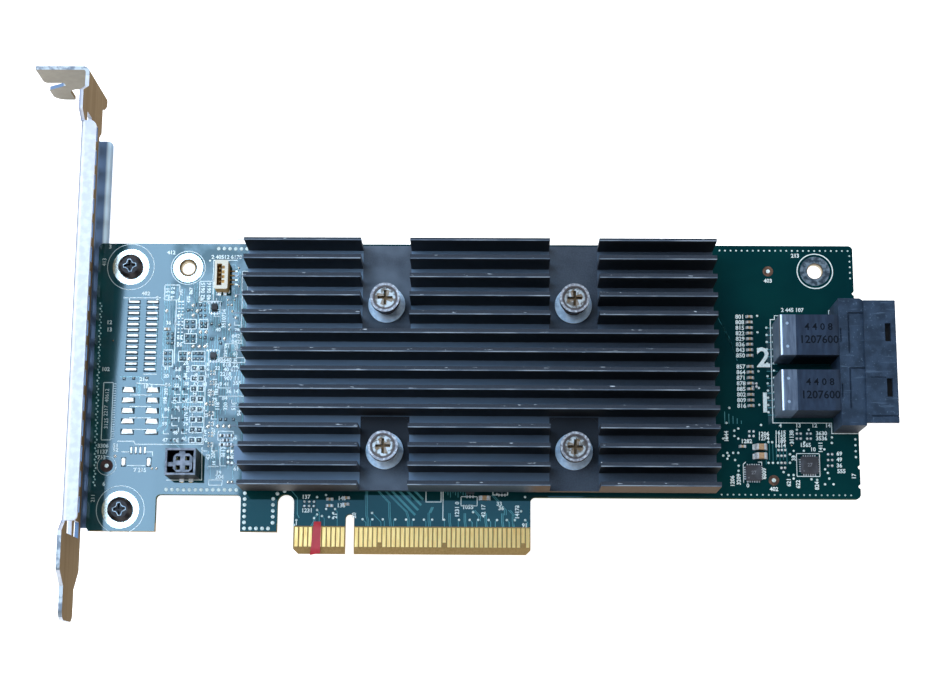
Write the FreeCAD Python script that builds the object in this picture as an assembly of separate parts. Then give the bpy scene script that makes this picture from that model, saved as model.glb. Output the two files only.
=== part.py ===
import FreeCAD, Part
import os
from math import cos, pi, radians, sin, tan
from FreeCAD import Vector

# A PCI Express storage controller card with a full-height slot bracket, a finned
# heat sink and a twin internal cable receptacle.
#
# X runs along the card away from the bracket, Y up the bracket away from the edge
# contacts and Z out of the component face.  Lengths are in millimetres.  The pieces
# are drawn with X = 0 at the board's bracket end, and are moved at the end so that the
# origin is the middle of the key notch, at the contact edge, on the component face.

# Circuit board
board_length = 167.65
board_height = 68.9
board_thickness = 1.6
board_corner = 1.0
foot_top = 4.65              # lower edge of the two feet beside the bracket
foot_recess = (14.9, 33.4)   # cut-out between the feet
recess_top = 12.65
tail_bottom = 12.45          # lower edge of the far end
hook_notch = (41.35, 45.0)   # notch for the slot's retaining hook
hook_notch_top = 12.8
key_x = 57.15
key_width = 1.9
key_top = 8.6
snap_nicks_y = (15.17, 19.35, 58.1)   # where the board broke out of its panel
snap_nick_radius = 0.45
tongue_left = 45.0
tongue_right = 96.25
tongue_chamfer = 1.0
bevel_height = 1.5
bevel_depth = 0.45
solder_side = -board_thickness

# Edge contacts: pins 1 to 11 before the key notch, 12 to 49 after it
pin_pitch = 1.0
pin_width = 0.7
pin_thickness = 0.05
pin_bottom = 1.5
pin_top = 5.7
short_pin_bottom = 2.5
short_pins = (17, 31, 48)
last_pin_before_key = 11
last_pin = 49
key_to_pin = 1.5             # key notch middle to the nearest contact's middle

# Plated holes, each (x, y, radius)
near_plated_hole = (20.1, 63.35, 2.0)
far_plated_hole = (159.2, 63.1, 1.8)

# Slot bracket, one folded sheet
sheet = 0.86
bend_inner = 0.5
plate_inner_x = -1.65
plate_outer_x = plate_inner_x - sheet
plate_front_z = 15.96
plate_rear_z = solder_side - sheet
flange_front_z = 13.4
flange_low_y = 5.4
flange_high_y = 93.2
front_flange_x = 0.88
rear_flange_x = 1.8
flange_corner = 1.2
tongue_tip_y = -15.2
tongue_rear_z = 1.65
tongue_front_z = 11.84
tab_top_y = 106.6
tab_front_z = 10.9
tab_rear_z = -9.2
tab_end_x = -13.7
tab_slot_x = -6.9
tab_slot_radius = 2.21
tab_slot_top_z = -2.09
vent_rows = 17
vent_pitch = 5.6
vent_first_y = 4.7
vent_columns_z = (1.95, 8.65)
vent_length = 4.5
vent_width = 3.5
ear_screws = ((7.3, 63.5), (7.3, 9.25))
ear_width = 9.0
ear_end_x = 11.6

# Bracket screws, M3
m3_radius = 1.5
m3_clearance = 1.6
small_round_sides = 12       # threads and very small rounds are prisms
pan_head_radius = 2.7
pan_head_height = 1.6
pan_head_crown_radius = 1.9
pan_head_crown_z = 0.9       # where the head starts to narrow to its crown
bracket_screw_tip_z = -3.6

# Heat sink
sink_x = (34.05, 136.1)
sink_y = (13.25, 67.0)
sink_base_z = 2.4
sink_floor_z = 4.4
fin_tip_z = 13.0
fin_count = 14
fin_first_y = 13.75          # middle of the lowest fin
fin_pitch = 4.088
fin_tip_width = 1.0
fin_root_width = 1.3
pocket_floor_z = 4.25
pocket_width = 10.6
pocket_corner = 2.0
pocket_depths = {"top": 48.7, "bottom": 29.3}
lug_x = 32.2
lug_y = (18.65, 23.1)
sink_screw_hole = 1.7
sink_screw_columns = (64.7, 105.5)
sink_screw_rows = (54.05, 21.8)

# Sprung heat sink screws and what they carry
washer_radius = 4.05
washer_thickness = 0.5
spring_mean_radius = 2.15
spring_wire = 0.55
spring_turns = 4
spring_closed_turn = 0.5     # flat part of a turn at each end
spring_lengths_per_turn = 8
screw_head_radius = 3.2
screw_head_z = (9.9, 11.9)
screw_dish_radius = 2.3
screw_dish_depth = 0.3
nut_across_flats = 5.5
nut_bottom_z = -3.4

# Parts under the heat sink
controller_middle = (85.1, 37.9)
controller_side = 31.0
controller_height = 2.0
memory_middles = ((119, 24), (119, 38), (119, 52), (130, 31), (130, 45))
memory_size = (9.0, 13.3, 1.1)
inductor_middles = ((42, 25), (42, 40), (42, 55))
inductor_size = (5.0, 5.0, 1.9)

# Twin internal cable receptacle
port_middles_y = (46.6, 34.55)
port_width = 8.85
port_height = 10.0
port_rear_x = 149.5
port_plate_x = 153.0
port_front_x = 162.2
end_sheet = 0.25
end_round = 0.8
dimple_x = 151.15
dimple_offset = 2.53
dimple_radius = 0.35
dimple_depth = 0.12
shell_step_x = 167.5
shell_mouth_x = 174.3
shell_rear_y = (26.9, 54.6)
shell_front_y = (27.45, 54.1)
shell_rear_top = 10.2
shell_front_top = 10.6
shell_corner_cut = 0.7
shell_ramp_x = 168.5         # end of the slope between the rear part and the front
shell_wall_y = 29.35         # the front's lower wall, set back under its lid
shell_lid_z = 9.6
lid_groove_y = 28.7
guide_groove_x = (168.6, 171.9)
guide_groove_y = 37.2
cavity_width = 7.6
cavity_z = (1.2, 9.4)
nose_width = 6.6
nose_z = (1.9, 8.7)
nose_tip_x = 169.6
nose_slot_z = (3.6, 7.0)
nose_slot_height = 0.9
nose_slot_width = 6.2
nose_slot_depth = 4.4
latch_pocket_x = (171.95, 173.2)
latch_pocket_length = 4.0
latch_pocket_offset = 0.5
latch_pocket_depth = 0.9
groove_width = 0.35
groove_depth = 0.3
contact_columns = 9
contact_pitch = 0.65
contact_width = 0.32
contact_thickness = 0.12
contact_length = 4.0

# Cream debug header
debug_x = (26.5, 29.45)
debug_y = (57.8, 64.35)
debug_height = 3.4
debug_cavity_x = (27.0, 28.1)
debug_cavity_y = (58.6, 63.5)
debug_floor_z = 0.8
debug_contact_count = 4
debug_contact_width = 0.3
debug_leg_end_x = 30.6

# Black four-way cable header
cable_x = (17.7, 24.3)
cable_y = (16.05, 21.85)
cable_height = 6.5
cable_wall = 0.45
cable_floor_z = 1.0
cable_island_x = (19.4, 23.5)
cable_island_y = (16.75, 20.75)
cable_island_cut = 0.7
cable_left_bridge_y = (18.0, 18.9)
cable_right_bridge_y = (18.9, 20.0)
cable_high_bridge_x = (20.6, 21.9)
cable_socket_middle = (21.45, 18.7)
cable_socket_pitch = 2.0
cable_socket_side = 0.95
cable_leg_width = 0.6

# Soldered integrated circuits: (x middle, y middle, x size, y size, height)
leaded_ics = ((83.15, 13.95, 1.9, 1.5, 0.9), (90.05, 14.6, 3.1, 2.0, 1.0),
              (26.3, 54.25, 1.3, 1.1, 0.9), (26.4, 43.35, 1.3, 1.1, 0.9))
leads_per_side = 3
lead_width = 0.28
lead_length = 0.45
lead_thickness = 0.15
leadless_ics = ((144.55, 17.95, 3.3, 3.3, 0.9), (156.7, 19.7, 3.7, 3.7, 0.9))

# Ceramic capacitors and resistors: (x middle, y middle, x size, y size, height)
bulk_capacitors_at = ((146.3, 23.65, 2.0, 1.25, 1.2), (146.3, 21.7, 2.0, 1.25, 1.2),
                      (86.3, 12.2, 1.8, 0.9, 0.8))
column_x = 144.4
column_top_y = 52.7
column_pitch = 1.245
column_rows = (0, 1, 2, 3, 4, 5, 6, 7, 9, 10, 11, 12, 13, 14, 15, 16)
small_chip = (1.0, 0.5, 0.5)
loose_capacitors_at = ((52.73, 11.77), (52.73, 10.35), (56.3, 12.1), (56.2, 10.7), (142.3, 23.8),
                       (15.96, 49.35))
resistors_at = ((29.0, 25.6), (29.65, 24.6), (29.0, 23.6), (30.6, 23.6), (30.6, 25.6))

# Red tape over two of the contacts
tape_top_x = (49.4, 50.95)
tape_foot_x = (48.7, 50.9)
tape_y = (-0.35, 6.9)
tape_foot_rise = 0.45        # its foot was cut askew
tape_thickness = 0.08


# ---- shapes used by several pieces ----

def box(x, y, z):
    """A block between the (low, high) pairs x, y and z."""
    return Part.makeBox(x[1] - x[0], y[1] - y[0], z[1] - z[0], Vector(x[0], y[0], z[0]))


def block(x, y, length, width, height):
    """A block standing on the component face with its middle at (x, y)."""
    return box((x - length / 2, x + length / 2), (y - width / 2, y + width / 2), (0, height))


def cylinder(x, y, low, high, radius):
    return Part.makeCylinder(radius, high - low, Vector(x, y, low))


def prism(sides, x, y, low, high, reach):
    """An upright prism of equal sides, with its corners at that reach from its middle."""
    turns = [2 * pi * corner / sides for corner in range(sides)]
    outline = [(x + reach * cos(turn), y + reach * sin(turn)) for turn in turns]
    return extruded("XY", outline, low, high)


def small_round(x, y, low, high, radius):
    """A thread, or a round too small to need many faces."""
    return prism(small_round_sides, x, y, low, high, radius)


def in_plane(plane, a, b, depth):
    """The point (a, b) of the plane "XY", "XZ" or "YZ", at that depth along the third axis."""
    if plane == "XY":
        return Vector(a, b, depth)
    if plane == "XZ":
        return Vector(a, depth, b)
    return Vector(depth, a, b)


def rounded_wire(corners):
    """A closed wire through (point, radius) corners, each rounded to its radius."""
    turns = []
    for number, (point, radius) in enumerate(corners):
        back = (corners[number - 1][0] - point).normalize()
        ahead = (corners[(number + 1) % len(corners)][0] - point).normalize()
        half_angle = back.getAngle(ahead) / 2
        reach = radius / tan(half_angle)
        inward = (back + ahead).normalize()
        middle = point + inward * (radius / sin(half_angle) - radius)
        turns.append((point + back * reach, middle, point + ahead * reach))
    edges = []
    for number, (start, middle, end) in enumerate(turns):
        if corners[number][1] > 0:
            edges.append(Part.Arc(start, middle, end).toShape())
        following = turns[(number + 1) % len(turns)][0]
        if (following - end).Length > 1e-6:
            edges.append(Part.LineSegment(end, following).toShape())
    return Part.Wire(edges)


def extruded(plane, outline, low, high):
    """A solid of the outline's (a, b) or (a, b, corner radius) points, from low to high."""
    corners = []
    for corner in outline:
        radius = corner[2] if len(corner) > 2 else 0
        corners.append((in_plane(plane, corner[0], corner[1], low), radius))
    return Part.Face(rounded_wire(corners)).extrude(in_plane(plane, 0, 0, high - low))


def cross_recess(x, y, top, depth, reach, width):
    """The cutter for a cross recess in a screw head."""
    low = top - depth
    along_x = box((x - reach, x + reach), (y - width / 2, y + width / 2), (low, top + 1))
    along_y = box((x - width / 2, x + width / 2), (y - reach, y + reach), (low, top + 1))
    return along_x.fuse(along_y)


# ---- circuit board ----

def circuit_board():
    """The board: two feet, hook notch, contact tongue with its key notch, and the holes."""
    outline = (
        (0, foot_top, board_corner),
        (foot_recess[0], foot_top),
        (foot_recess[0], recess_top, board_corner),
        (foot_recess[1], recess_top, board_corner),
        (foot_recess[1], foot_top),
        (tongue_left, foot_top),
        (tongue_left, tongue_chamfer),
        (tongue_left + tongue_chamfer, 0),
        (tongue_right - tongue_chamfer, 0),
        (tongue_right, tongue_chamfer),
        (tongue_right, tail_bottom, board_corner),
        (board_length, tail_bottom, board_corner),
        (board_length, board_height, board_corner),
        (0, board_height, board_corner))
    board = extruded("XY", outline, solder_side, 0)
    key = (key_x - key_width / 2, key_x + key_width / 2)
    cutters = [round_ended_notch(hook_notch, hook_notch_top), round_ended_notch(key, key_top)]
    for side, edge_z in ((1, 0), (-1, solder_side)):
        bevel = ((0, edge_z - side * bevel_depth), (0, edge_z), (bevel_height, edge_z))
        cutters.append(extruded("YZ", bevel, tongue_left, tongue_right))
    for x, y, radius in (near_plated_hole, far_plated_hole):
        cutters.append(cylinder(x, y, solder_side, 0, radius))
    for x, y in list(ear_screws) + sink_screws_at():
        cutters.append(cylinder(x, y, solder_side, 0, m3_clearance))
    for y in snap_nicks_y:
        cutters.append(small_round(board_length, y, solder_side, 0, snap_nick_radius))
    return board.cut(cutters)


def round_ended_notch(x, top):
    """The cutter for a notch in the board's lower edge with a half-round end."""
    radius = (x[1] - x[0]) / 2
    end = cylinder(x[0] + radius, top - radius, solder_side, 0, radius)
    return box(x, (-1, top - radius), (solder_side, 0)).fuse(end)


def edge_contacts(face_z):
    """The gold contacts of one side, lying on the board's face at face_z."""
    contacts = []
    for pin in range(1, last_pin + 1):
        if pin <= last_pin_before_key:
            x = key_x - key_to_pin - (last_pin_before_key - pin) * pin_pitch
        else:
            x = key_x + key_to_pin + (pin - last_pin_before_key - 1) * pin_pitch
        bottom = short_pin_bottom if pin in short_pins else pin_bottom
        low = face_z if face_z == 0 else face_z - pin_thickness
        across = (x - pin_width / 2, x + pin_width / 2)
        contacts.append(box(across, (bottom, pin_top), (low, low + pin_thickness)))
    return Part.makeCompound(contacts)


# ---- slot bracket ----

def bracket():
    """One punched sheet: plate, two flanges with their bends, screw ears and the top tab."""
    bend_x = plate_inner_x + bend_inner
    bend_outer = bend_inner + sheet
    bend_y = tab_top_y - bend_outer
    front_inner_z = flange_front_z - sheet
    lower_plate = (
        (tongue_tip_y, tongue_rear_z, 2),
        (tongue_tip_y, tongue_front_z, 2),
        (-8.2, tongue_front_z),
        (-5.0, plate_front_z, 1),
        (3.0, plate_front_z),
        (5.0, flange_front_z),
        (flange_low_y, flange_front_z),
        (flange_low_y, plate_rear_z),
        (-4.0, plate_rear_z, 1),
        (-8.2, tongue_rear_z))
    upper_plate = (
        (flange_high_y, plate_rear_z),
        (flange_high_y, flange_front_z),
        (93.5, flange_front_z),
        (95.1, plate_front_z),
        (99.4, plate_front_z),
        (102.0, tab_front_z),
        (bend_y, tab_front_z),
        (bend_y, tab_rear_z),
        (104.0, tab_rear_z, 1.2),
        (102.3, -6.5),
        (101.9, -4.6),
        (96.0, -4.6),
        (94.4, plate_rear_z))
    channel = (
        (bend_x, flange_front_z),
        (plate_outer_x, flange_front_z, bend_outer),
        (plate_outer_x, plate_rear_z, bend_outer),
        (bend_x, plate_rear_z),
        (bend_x, solder_side),
        (plate_inner_x, solder_side, bend_inner),
        (plate_inner_x, front_inner_z, bend_inner),
        (bend_x, front_inner_z))
    front_flange = (
        (bend_x, flange_low_y),
        (front_flange_x, flange_low_y, flange_corner),
        (front_flange_x, flange_high_y, flange_corner),
        (bend_x, flange_high_y))
    rear_flange = (
        (bend_x, flange_low_y),
        (rear_flange_x, flange_low_y, flange_corner),
        (rear_flange_x, flange_high_y, flange_corner),
        (bend_x, flange_high_y))
    top_bend = (
        (plate_outer_x, bend_y),
        (plate_inner_x, bend_y),
        (plate_inner_x, tab_top_y, bend_outer),
        (plate_outer_x - bend_inner, tab_top_y),
        (plate_outer_x - bend_inner, tab_top_y - sheet),
        (plate_outer_x, tab_top_y - sheet, bend_inner))
    pieces = [
        extruded("YZ", upper_plate, plate_outer_x, plate_inner_x),
        extruded("XZ", channel, flange_low_y, flange_high_y),
        extruded("XY", front_flange, front_inner_z, flange_front_z),
        extruded("XY", rear_flange, plate_rear_z, solder_side),
        extruded("XY", top_bend, tab_rear_z, tab_front_z),
        extruded("XZ", tab_outline(), tab_top_y - sheet, tab_top_y)]
    pieces += [screw_ear(y) for x, y in ear_screws]
    folded = extruded("YZ", lower_plate, plate_outer_x, plate_inner_x).fuse(pieces)
    holes = [small_round(x, y, plate_rear_z, solder_side, m3_radius) for x, y in ear_screws]
    return folded.cut(vents() + holes).removeSplitter()


def tab_outline():
    """The top tab with its open screw slot and the notch that locates it."""
    slot_near_x = tab_slot_x + tab_slot_radius
    slot_far_x = tab_slot_x - tab_slot_radius
    notch_x = -9.3
    return (
        (plate_outer_x - bend_inner, tab_front_z),
        (tab_end_x, tab_front_z),
        (tab_end_x, 2.1, 1.0),
        (notch_x, 2.1),
        (notch_x, 0.4),
        (tab_end_x, -2.6, 1.0),
        (tab_end_x, tab_rear_z, 2.5),
        (slot_far_x, tab_rear_z),
        (slot_far_x, tab_slot_top_z, 2.2),
        (slot_near_x, tab_slot_top_z, 2.2),
        (slot_near_x, tab_rear_z),
        (plate_outer_x - bend_inner, tab_rear_z))


def screw_ear(y):
    """An ear of the rear flange, with a round end, lying behind the board."""
    low = y - ear_width / 2
    high = y + ear_width / 2
    round_end = ear_width / 2 - 0.1
    outline = ((0, low), (ear_end_x, low, round_end), (ear_end_x, high, round_end), (0, high))
    return extruded("XY", outline, plate_rear_z, solder_side)


def vents():
    """The cutters for two columns of oblong vents up the plate."""
    cutters = []
    for row in range(vent_rows):
        y = vent_first_y + row * vent_pitch
        for z in vent_columns_z:
            across = (y - vent_width / 2, y + vent_width / 2)
            along = (z - vent_length / 2, z + vent_length / 2)
            cutters.append(box((plate_outer_x, plate_inner_x), across, along))
    return cutters


def bracket_screw(x, y):
    """A pan-head screw through the board into an ear."""
    rim = cylinder(x, y, 0, pan_head_crown_z, pan_head_radius)
    crown_height = pan_head_height - pan_head_crown_z
    crown_middle = Vector(x, y, pan_head_crown_z)
    crown = Part.makeCone(pan_head_radius, pan_head_crown_radius, crown_height, crown_middle)
    shank = small_round(x, y, bracket_screw_tip_z, 0, m3_radius)
    screw = rim.fuse([crown, shank])
    return screw.cut(cross_recess(x, y, pan_head_height, 0.9, 1.4, 0.55))


# ---- heat sink and its screws ----

def sink_screws_at():
    return [(x, y) for x in sink_screw_columns for y in sink_screw_rows]


def heat_sink():
    """An extruded comb of fins, milled away round the four screws, with a small lug."""
    comb = [(sink_y[0], sink_base_z), (sink_y[1], sink_base_z)]
    for number in reversed(range(fin_count)):
        middle = fin_first_y + number * fin_pitch
        root_high = middle + fin_root_width / 2
        root_low = middle - fin_root_width / 2
        tip_high = min(middle + fin_tip_width / 2, sink_y[1])
        if number < fin_count - 1:
            comb.append((root_high, sink_floor_z))
        comb.append((tip_high, fin_tip_z))
        comb.append((middle - fin_tip_width / 2, fin_tip_z))
        if number > 0:
            comb.append((root_low, sink_floor_z))
    sink = extruded("YZ", comb, sink_x[0], sink_x[1])
    lug = ((sink_x[0], lug_y[0]), (lug_x, lug_y[0], 1), (lug_x, lug_y[1], 1), (sink_x[0], lug_y[1]))
    sink = sink.fuse(extruded("XY", lug, sink_base_z, sink_floor_z))
    cutters = []
    for x in sink_screw_columns:
        cutters.append(screw_pocket(x, pocket_depths["top"], sink_y[1] + 1))
        cutters.append(screw_pocket(x, pocket_depths["bottom"], sink_y[0] - 1))
    for x, y in sink_screws_at():
        cutters.append(cylinder(x, y, sink_base_z, pocket_floor_z, sink_screw_hole))
    return sink.cut(cutters).removeSplitter()


def screw_pocket(x, inner_y, open_y):
    """The cutter for a pocket from the sink's edge to inner_y, with the mill's corners."""
    left = x - pocket_width / 2
    right = x + pocket_width / 2
    outline = ((left, open_y), (left, inner_y, pocket_corner), (right, inner_y, pocket_corner),
               (right, open_y))
    return extruded("XY", outline, pocket_floor_z, fin_tip_z + 1)


def screw_washer(x, y):
    top = pocket_floor_z + washer_thickness
    disc = cylinder(x, y, pocket_floor_z, top, washer_radius)
    return disc.cut(cylinder(x, y, pocket_floor_z, top, sink_screw_hole))


def screw_spring(x, y):
    """A compression spring with flat ends, wound in short straight lengths of square wire."""
    half = spring_wire / 2
    low = pocket_floor_z + washer_thickness + half
    rise = screw_head_z[0] - half - low
    rings = []
    for number in range(spring_turns * spring_lengths_per_turn + 1):
        turned = number / spring_lengths_per_turn
        climb = (turned - spring_closed_turn) / (spring_turns - 2 * spring_closed_turn)
        z = low + rise * min(max(climb, 0), 1)
        along = Vector(cos(2 * pi * turned), sin(2 * pi * turned), 0)
        ring = []
        for out, up in ((-half, -half), (half, -half), (half, half), (-half, half)):
            ring.append(Vector(x, y, z + up) + along * (spring_mean_radius + out))
        rings.append(ring)
    faces = [flat_face(rings[0]), flat_face(rings[-1])]
    for ring, following in zip(rings, rings[1:]):
        for side in range(4):
            other = (side + 1) % 4
            faces.append(flat_face((ring[side], ring[other], following[other])))
            faces.append(flat_face((ring[side], following[other], following[side])))
    return Part.makeSolid(Part.makeShell(faces))


def flat_face(corners):
    return Part.Face(Part.makePolygon(list(corners) + [corners[0]]))


def sink_screw(x, y):
    """A shouldered screw: dished head with a cross recess, and a long shank."""
    head = cylinder(x, y, screw_head_z[0], screw_head_z[1], screw_head_radius)
    dish_z = screw_head_z[1] - screw_dish_depth
    dish = cylinder(x, y, dish_z, screw_head_z[1], screw_dish_radius)
    shank = small_round(x, y, nut_bottom_z, screw_head_z[0], m3_radius)
    screw = head.fuse(shank).cut(dish)
    return screw.cut(cross_recess(x, y, dish_z, 0.9, 1.6, 0.6))


def screw_retainer(x, y):
    """A thin hexagon nut on the solder side, which takes a heat sink screw."""
    reach = nut_across_flats / 2 / cos(radians(30))
    nut = prism(6, x, y, nut_bottom_z, solder_side, reach)
    return nut.cut(small_round(x, y, nut_bottom_z, solder_side, m3_radius))


# ---- parts under the heat sink ----

def memory_chips():
    return [block(x, y, *memory_size) for x, y in memory_middles]


def memory_thermal_pads():
    length, width, height = memory_size
    pads = []
    for x, y in memory_middles:
        pad = block(x, y, length, width, sink_base_z - height)
        pad.translate(Vector(0, 0, height))
        pads.append(pad)
    return pads


def controller_chip():
    return block(*controller_middle, controller_side, controller_side, controller_height)


def controller_thermal_pad():
    x, y = controller_middle
    pad = block(x, y, controller_side, controller_side, sink_base_z - controller_height)
    pad.translate(Vector(0, 0, controller_height))
    return pad


# ---- twin cable receptacle ----

def port_rear(y, inset):
    """The rear end of a port body, rounded over at the top, smaller all round by inset."""
    top = port_height - inset
    side = (
        (port_rear_x + inset, 0),
        (port_rear_x + inset, top, end_round - inset),
        (port_plate_x, top),
        (port_plate_x, 0))
    half_width = port_width / 2 - inset
    return extruded("XZ", side, y - half_width, y + half_width)


def port_end_plate(y):
    """A metal cap folded over the rear end, with two dimples in its top."""
    cap = port_rear(y, 0).cut(port_rear(y, end_sheet))
    dimple_z = port_height - dimple_depth
    dimples = [small_round(dimple_x, y + offset, dimple_z, port_height, dimple_radius)
               for offset in (-dimple_offset, dimple_offset)]
    return cap.cut(dimples)


def port_body(y):
    """A moulded body behind the shell, whose slotted nose stands in the shell's cavity."""
    half_width = port_width / 2
    middle = box((port_plate_x, port_front_x), (y - half_width, y + half_width), (0, port_height))
    nose_y = (y - nose_width / 2, y + nose_width / 2)
    nose = box((port_front_x, nose_tip_x), nose_y, nose_z)
    body = middle.fuse([port_rear(y, end_sheet), nose]).removeSplitter()
    return body.cut([nose_slot(y, z) for z in nose_slot_z])


def nose_slot(y, z):
    across = (y - nose_slot_width / 2, y + nose_slot_width / 2)
    high = (z - nose_slot_height / 2, z + nose_slot_height / 2)
    return box((nose_tip_x - nose_slot_depth, nose_tip_x), across, high)


def port_contacts():
    """Rows of spring contacts on both faces of the slots in both noses."""
    contacts = []
    first = -(contact_columns - 1) / 2 * contact_pitch
    for port_y in port_middles_y:
        for slot_z in nose_slot_z:
            lower = slot_z - nose_slot_height / 2
            upper = slot_z + nose_slot_height / 2 - contact_thickness
            for column in range(contact_columns):
                y = port_y + first + column * contact_pitch
                for low in (lower, upper):
                    along = (nose_tip_x - nose_slot_depth, nose_tip_x - nose_slot_depth + contact_length)
                    across = (y - contact_width / 2, y + contact_width / 2)
                    contacts.append(box(along, across, (low, low + contact_thickness)))
    return contacts


def receptacle_housing():
    """The moulded shell: rear block, ramp, lidded front, cavities, latch pockets and grooves."""
    rear = extruded("XY", (
        (port_front_x, shell_rear_y[0]),
        (shell_step_x, shell_rear_y[0]),
        (shell_step_x, shell_front_y[1]),
        (shell_step_x - shell_corner_cut, shell_rear_y[1]),
        (port_front_x, shell_rear_y[1])), 0, shell_rear_top)
    wall_y = (shell_wall_y, shell_front_y[1])
    front = box((shell_step_x, shell_mouth_x), wall_y, (0, shell_lid_z))
    lid = box((shell_step_x, shell_mouth_x), shell_front_y, (shell_lid_z, shell_front_top))
    slope = (
        (shell_step_x, 0),
        (shell_step_x, shell_rear_top),
        (shell_ramp_x, shell_front_top),
        (shell_ramp_x, 0))
    ramp = extruded("XZ", slope, shell_wall_y, shell_front_y[1])
    shell = rear.fuse([front, lid, ramp]).removeSplitter()
    groove_z = (shell_front_top - groove_depth, shell_front_top)
    cutters = [
        box((shell_ramp_x, shell_mouth_x), (lid_groove_y, lid_groove_y + groove_width), groove_z),
        box(guide_groove_x, (guide_groove_y, guide_groove_y + groove_width / 2), groove_z)]
    pocket_z = (shell_front_top - latch_pocket_depth, shell_front_top)
    for y in port_middles_y:
        cavity_y = (y - cavity_width / 2, y + cavity_width / 2)
        cutters.append(box((port_front_x, shell_mouth_x), cavity_y, cavity_z))
        pocket_middle = y + latch_pocket_offset
        pocket_y = (pocket_middle - latch_pocket_length / 2, pocket_middle + latch_pocket_length / 2)
        cutters.append(box(latch_pocket_x, pocket_y, pocket_z))
        cutters += shell_grooves(y)
    return shell.cut(cutters)


def shell_grooves(port_y):
    """The cutters for the bent groove and the short slit on the shell's top over one port."""
    depth = (shell_rear_top - groove_depth, shell_rear_top)
    corner_x = 164.1
    low_y = port_y - 4.0
    high_y = port_y + 4.9
    down = box((corner_x, corner_x + groove_width), (low_y, high_y), depth)
    across = box((corner_x, shell_step_x), (high_y - groove_width, high_y), depth)
    slit = box((port_front_x + 0.2, port_front_x + 0.5), (port_y - 1.6, port_y + 1.4), depth)
    return [down.fuse(across), slit]


# ---- small headers ----

def debug_contacts():
    """Bent contacts: a pin in the cavity, and a foot through the wall to the board."""
    pin_x = sum(debug_cavity_x) / 2
    half = debug_contact_width / 2
    first_y = sum(debug_y) / 2 - (debug_contact_count - 1) / 2
    side = (
        (pin_x - half, 0),
        (debug_leg_end_x, 0),
        (debug_leg_end_x, lead_thickness),
        (pin_x + half, lead_thickness),
        (pin_x + half, debug_height - 0.6),
        (pin_x - half, debug_height - 0.6))
    contacts = []
    for number in range(debug_contact_count):
        y = first_y + number
        contacts.append(extruded("XZ", side, y - half, y + half))
    return contacts


def debug_header():
    body = box(debug_x, debug_y, (0, debug_height))
    uprights = [edge for edge in body.Edges if edge.BoundBox.ZLength > debug_height - 0.1]
    body = body.makeFillet(0.3, uprights)
    cavity = box(debug_cavity_x, debug_cavity_y, (debug_floor_z, debug_height))
    return body.cut([cavity] + debug_contacts())


def cable_sockets_at():
    x, y = cable_socket_middle
    half = cable_socket_pitch / 2
    return [(x + dx, y + dy) for dx in (-half, half) for dy in (-half, half)]


def cable_header():
    """A shroud round an eight-sided island with four sockets, joined on three sides."""
    inner_x = (cable_x[0] + cable_wall, cable_x[1] - cable_wall)
    inner_y = (cable_y[0] + cable_wall, cable_y[1] - cable_wall)
    whole = (0, cable_height)
    shroud = box(cable_x, cable_y, whole)
    shroud = shroud.cut(box(inner_x, inner_y, (cable_floor_z, cable_height)))
    left, right = cable_island_x
    low, high = cable_island_y
    cut = cable_island_cut
    island = extruded("XY", (
        (left + cut, low), (right - cut, low), (right, low + cut), (right, high - cut),
        (right - cut, high), (left + cut, high), (left, high - cut), (left, low + cut)),
        0, cable_height - 0.5)
    bridge_top = (cable_floor_z, cable_height - 0.7)
    bridges = [
        box((inner_x[0], left), cable_left_bridge_y, bridge_top),
        box((right, inner_x[1]), cable_right_bridge_y, bridge_top),
        box(cable_high_bridge_x, (high, inner_y[1]), bridge_top)]
    sockets = []
    half = cable_socket_side / 2
    for x, y in cable_sockets_at():
        sockets.append(box((x - half, x + half), (y - half, y + half), whole))
    return shroud.fuse([island] + bridges).removeSplitter().cut(sockets)


def cable_contacts():
    """A folded leaf in each socket, and the two feet that show at the lower edge."""
    contacts = []
    half = cable_socket_side / 2
    for x, y in cable_sockets_at():
        leaf = ((x - half, 0), (x - half + 0.15, 0), (x - half + 0.35, 2.6), (x - half + 0.15, 5.2),
                (x - half, 5.2))
        contacts.append(extruded("XZ", leaf, y - 0.3, y + 0.3))
    for x in sorted({x for x, y in cable_sockets_at()}):
        across = (x - cable_leg_width / 2, x + cable_leg_width / 2)
        contacts.append(box(across, (cable_y[0] - 0.8, cable_y[0]), (0, lead_thickness)))
    return contacts


# ---- soldered parts ----

def leaded_ic(x, y, length, width, height):
    """A moulded package with flat leads along its two long sides."""
    pieces = [block(x, y, length, width, height)]
    pitch = length / leads_per_side
    for number in range(leads_per_side):
        lead_x = x + (number - (leads_per_side - 1) / 2) * pitch
        span = width + 2 * lead_length
        pieces.append(block(lead_x, y, lead_width, span, lead_thickness))
    return pieces[0].fuse(pieces[1:]).removeSplitter()


def chip_capacitors():
    places = [(column_x, column_top_y - row * column_pitch) for row in column_rows]
    places += loose_capacitors_at
    return [block(x, y, *small_chip) for x, y in places]


def red_tape():
    """A strip cut by hand, wider and askew at its foot."""
    low, high = tape_y
    outline = (
        (tape_foot_x[0], low),
        (tape_foot_x[1], low + tape_foot_rise),
        (tape_top_x[1], high),
        (tape_top_x[0], high))
    return extruded("XY", outline, pin_thickness, pin_thickness + tape_thickness)


# ---- the nodes, one file each ----

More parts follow.
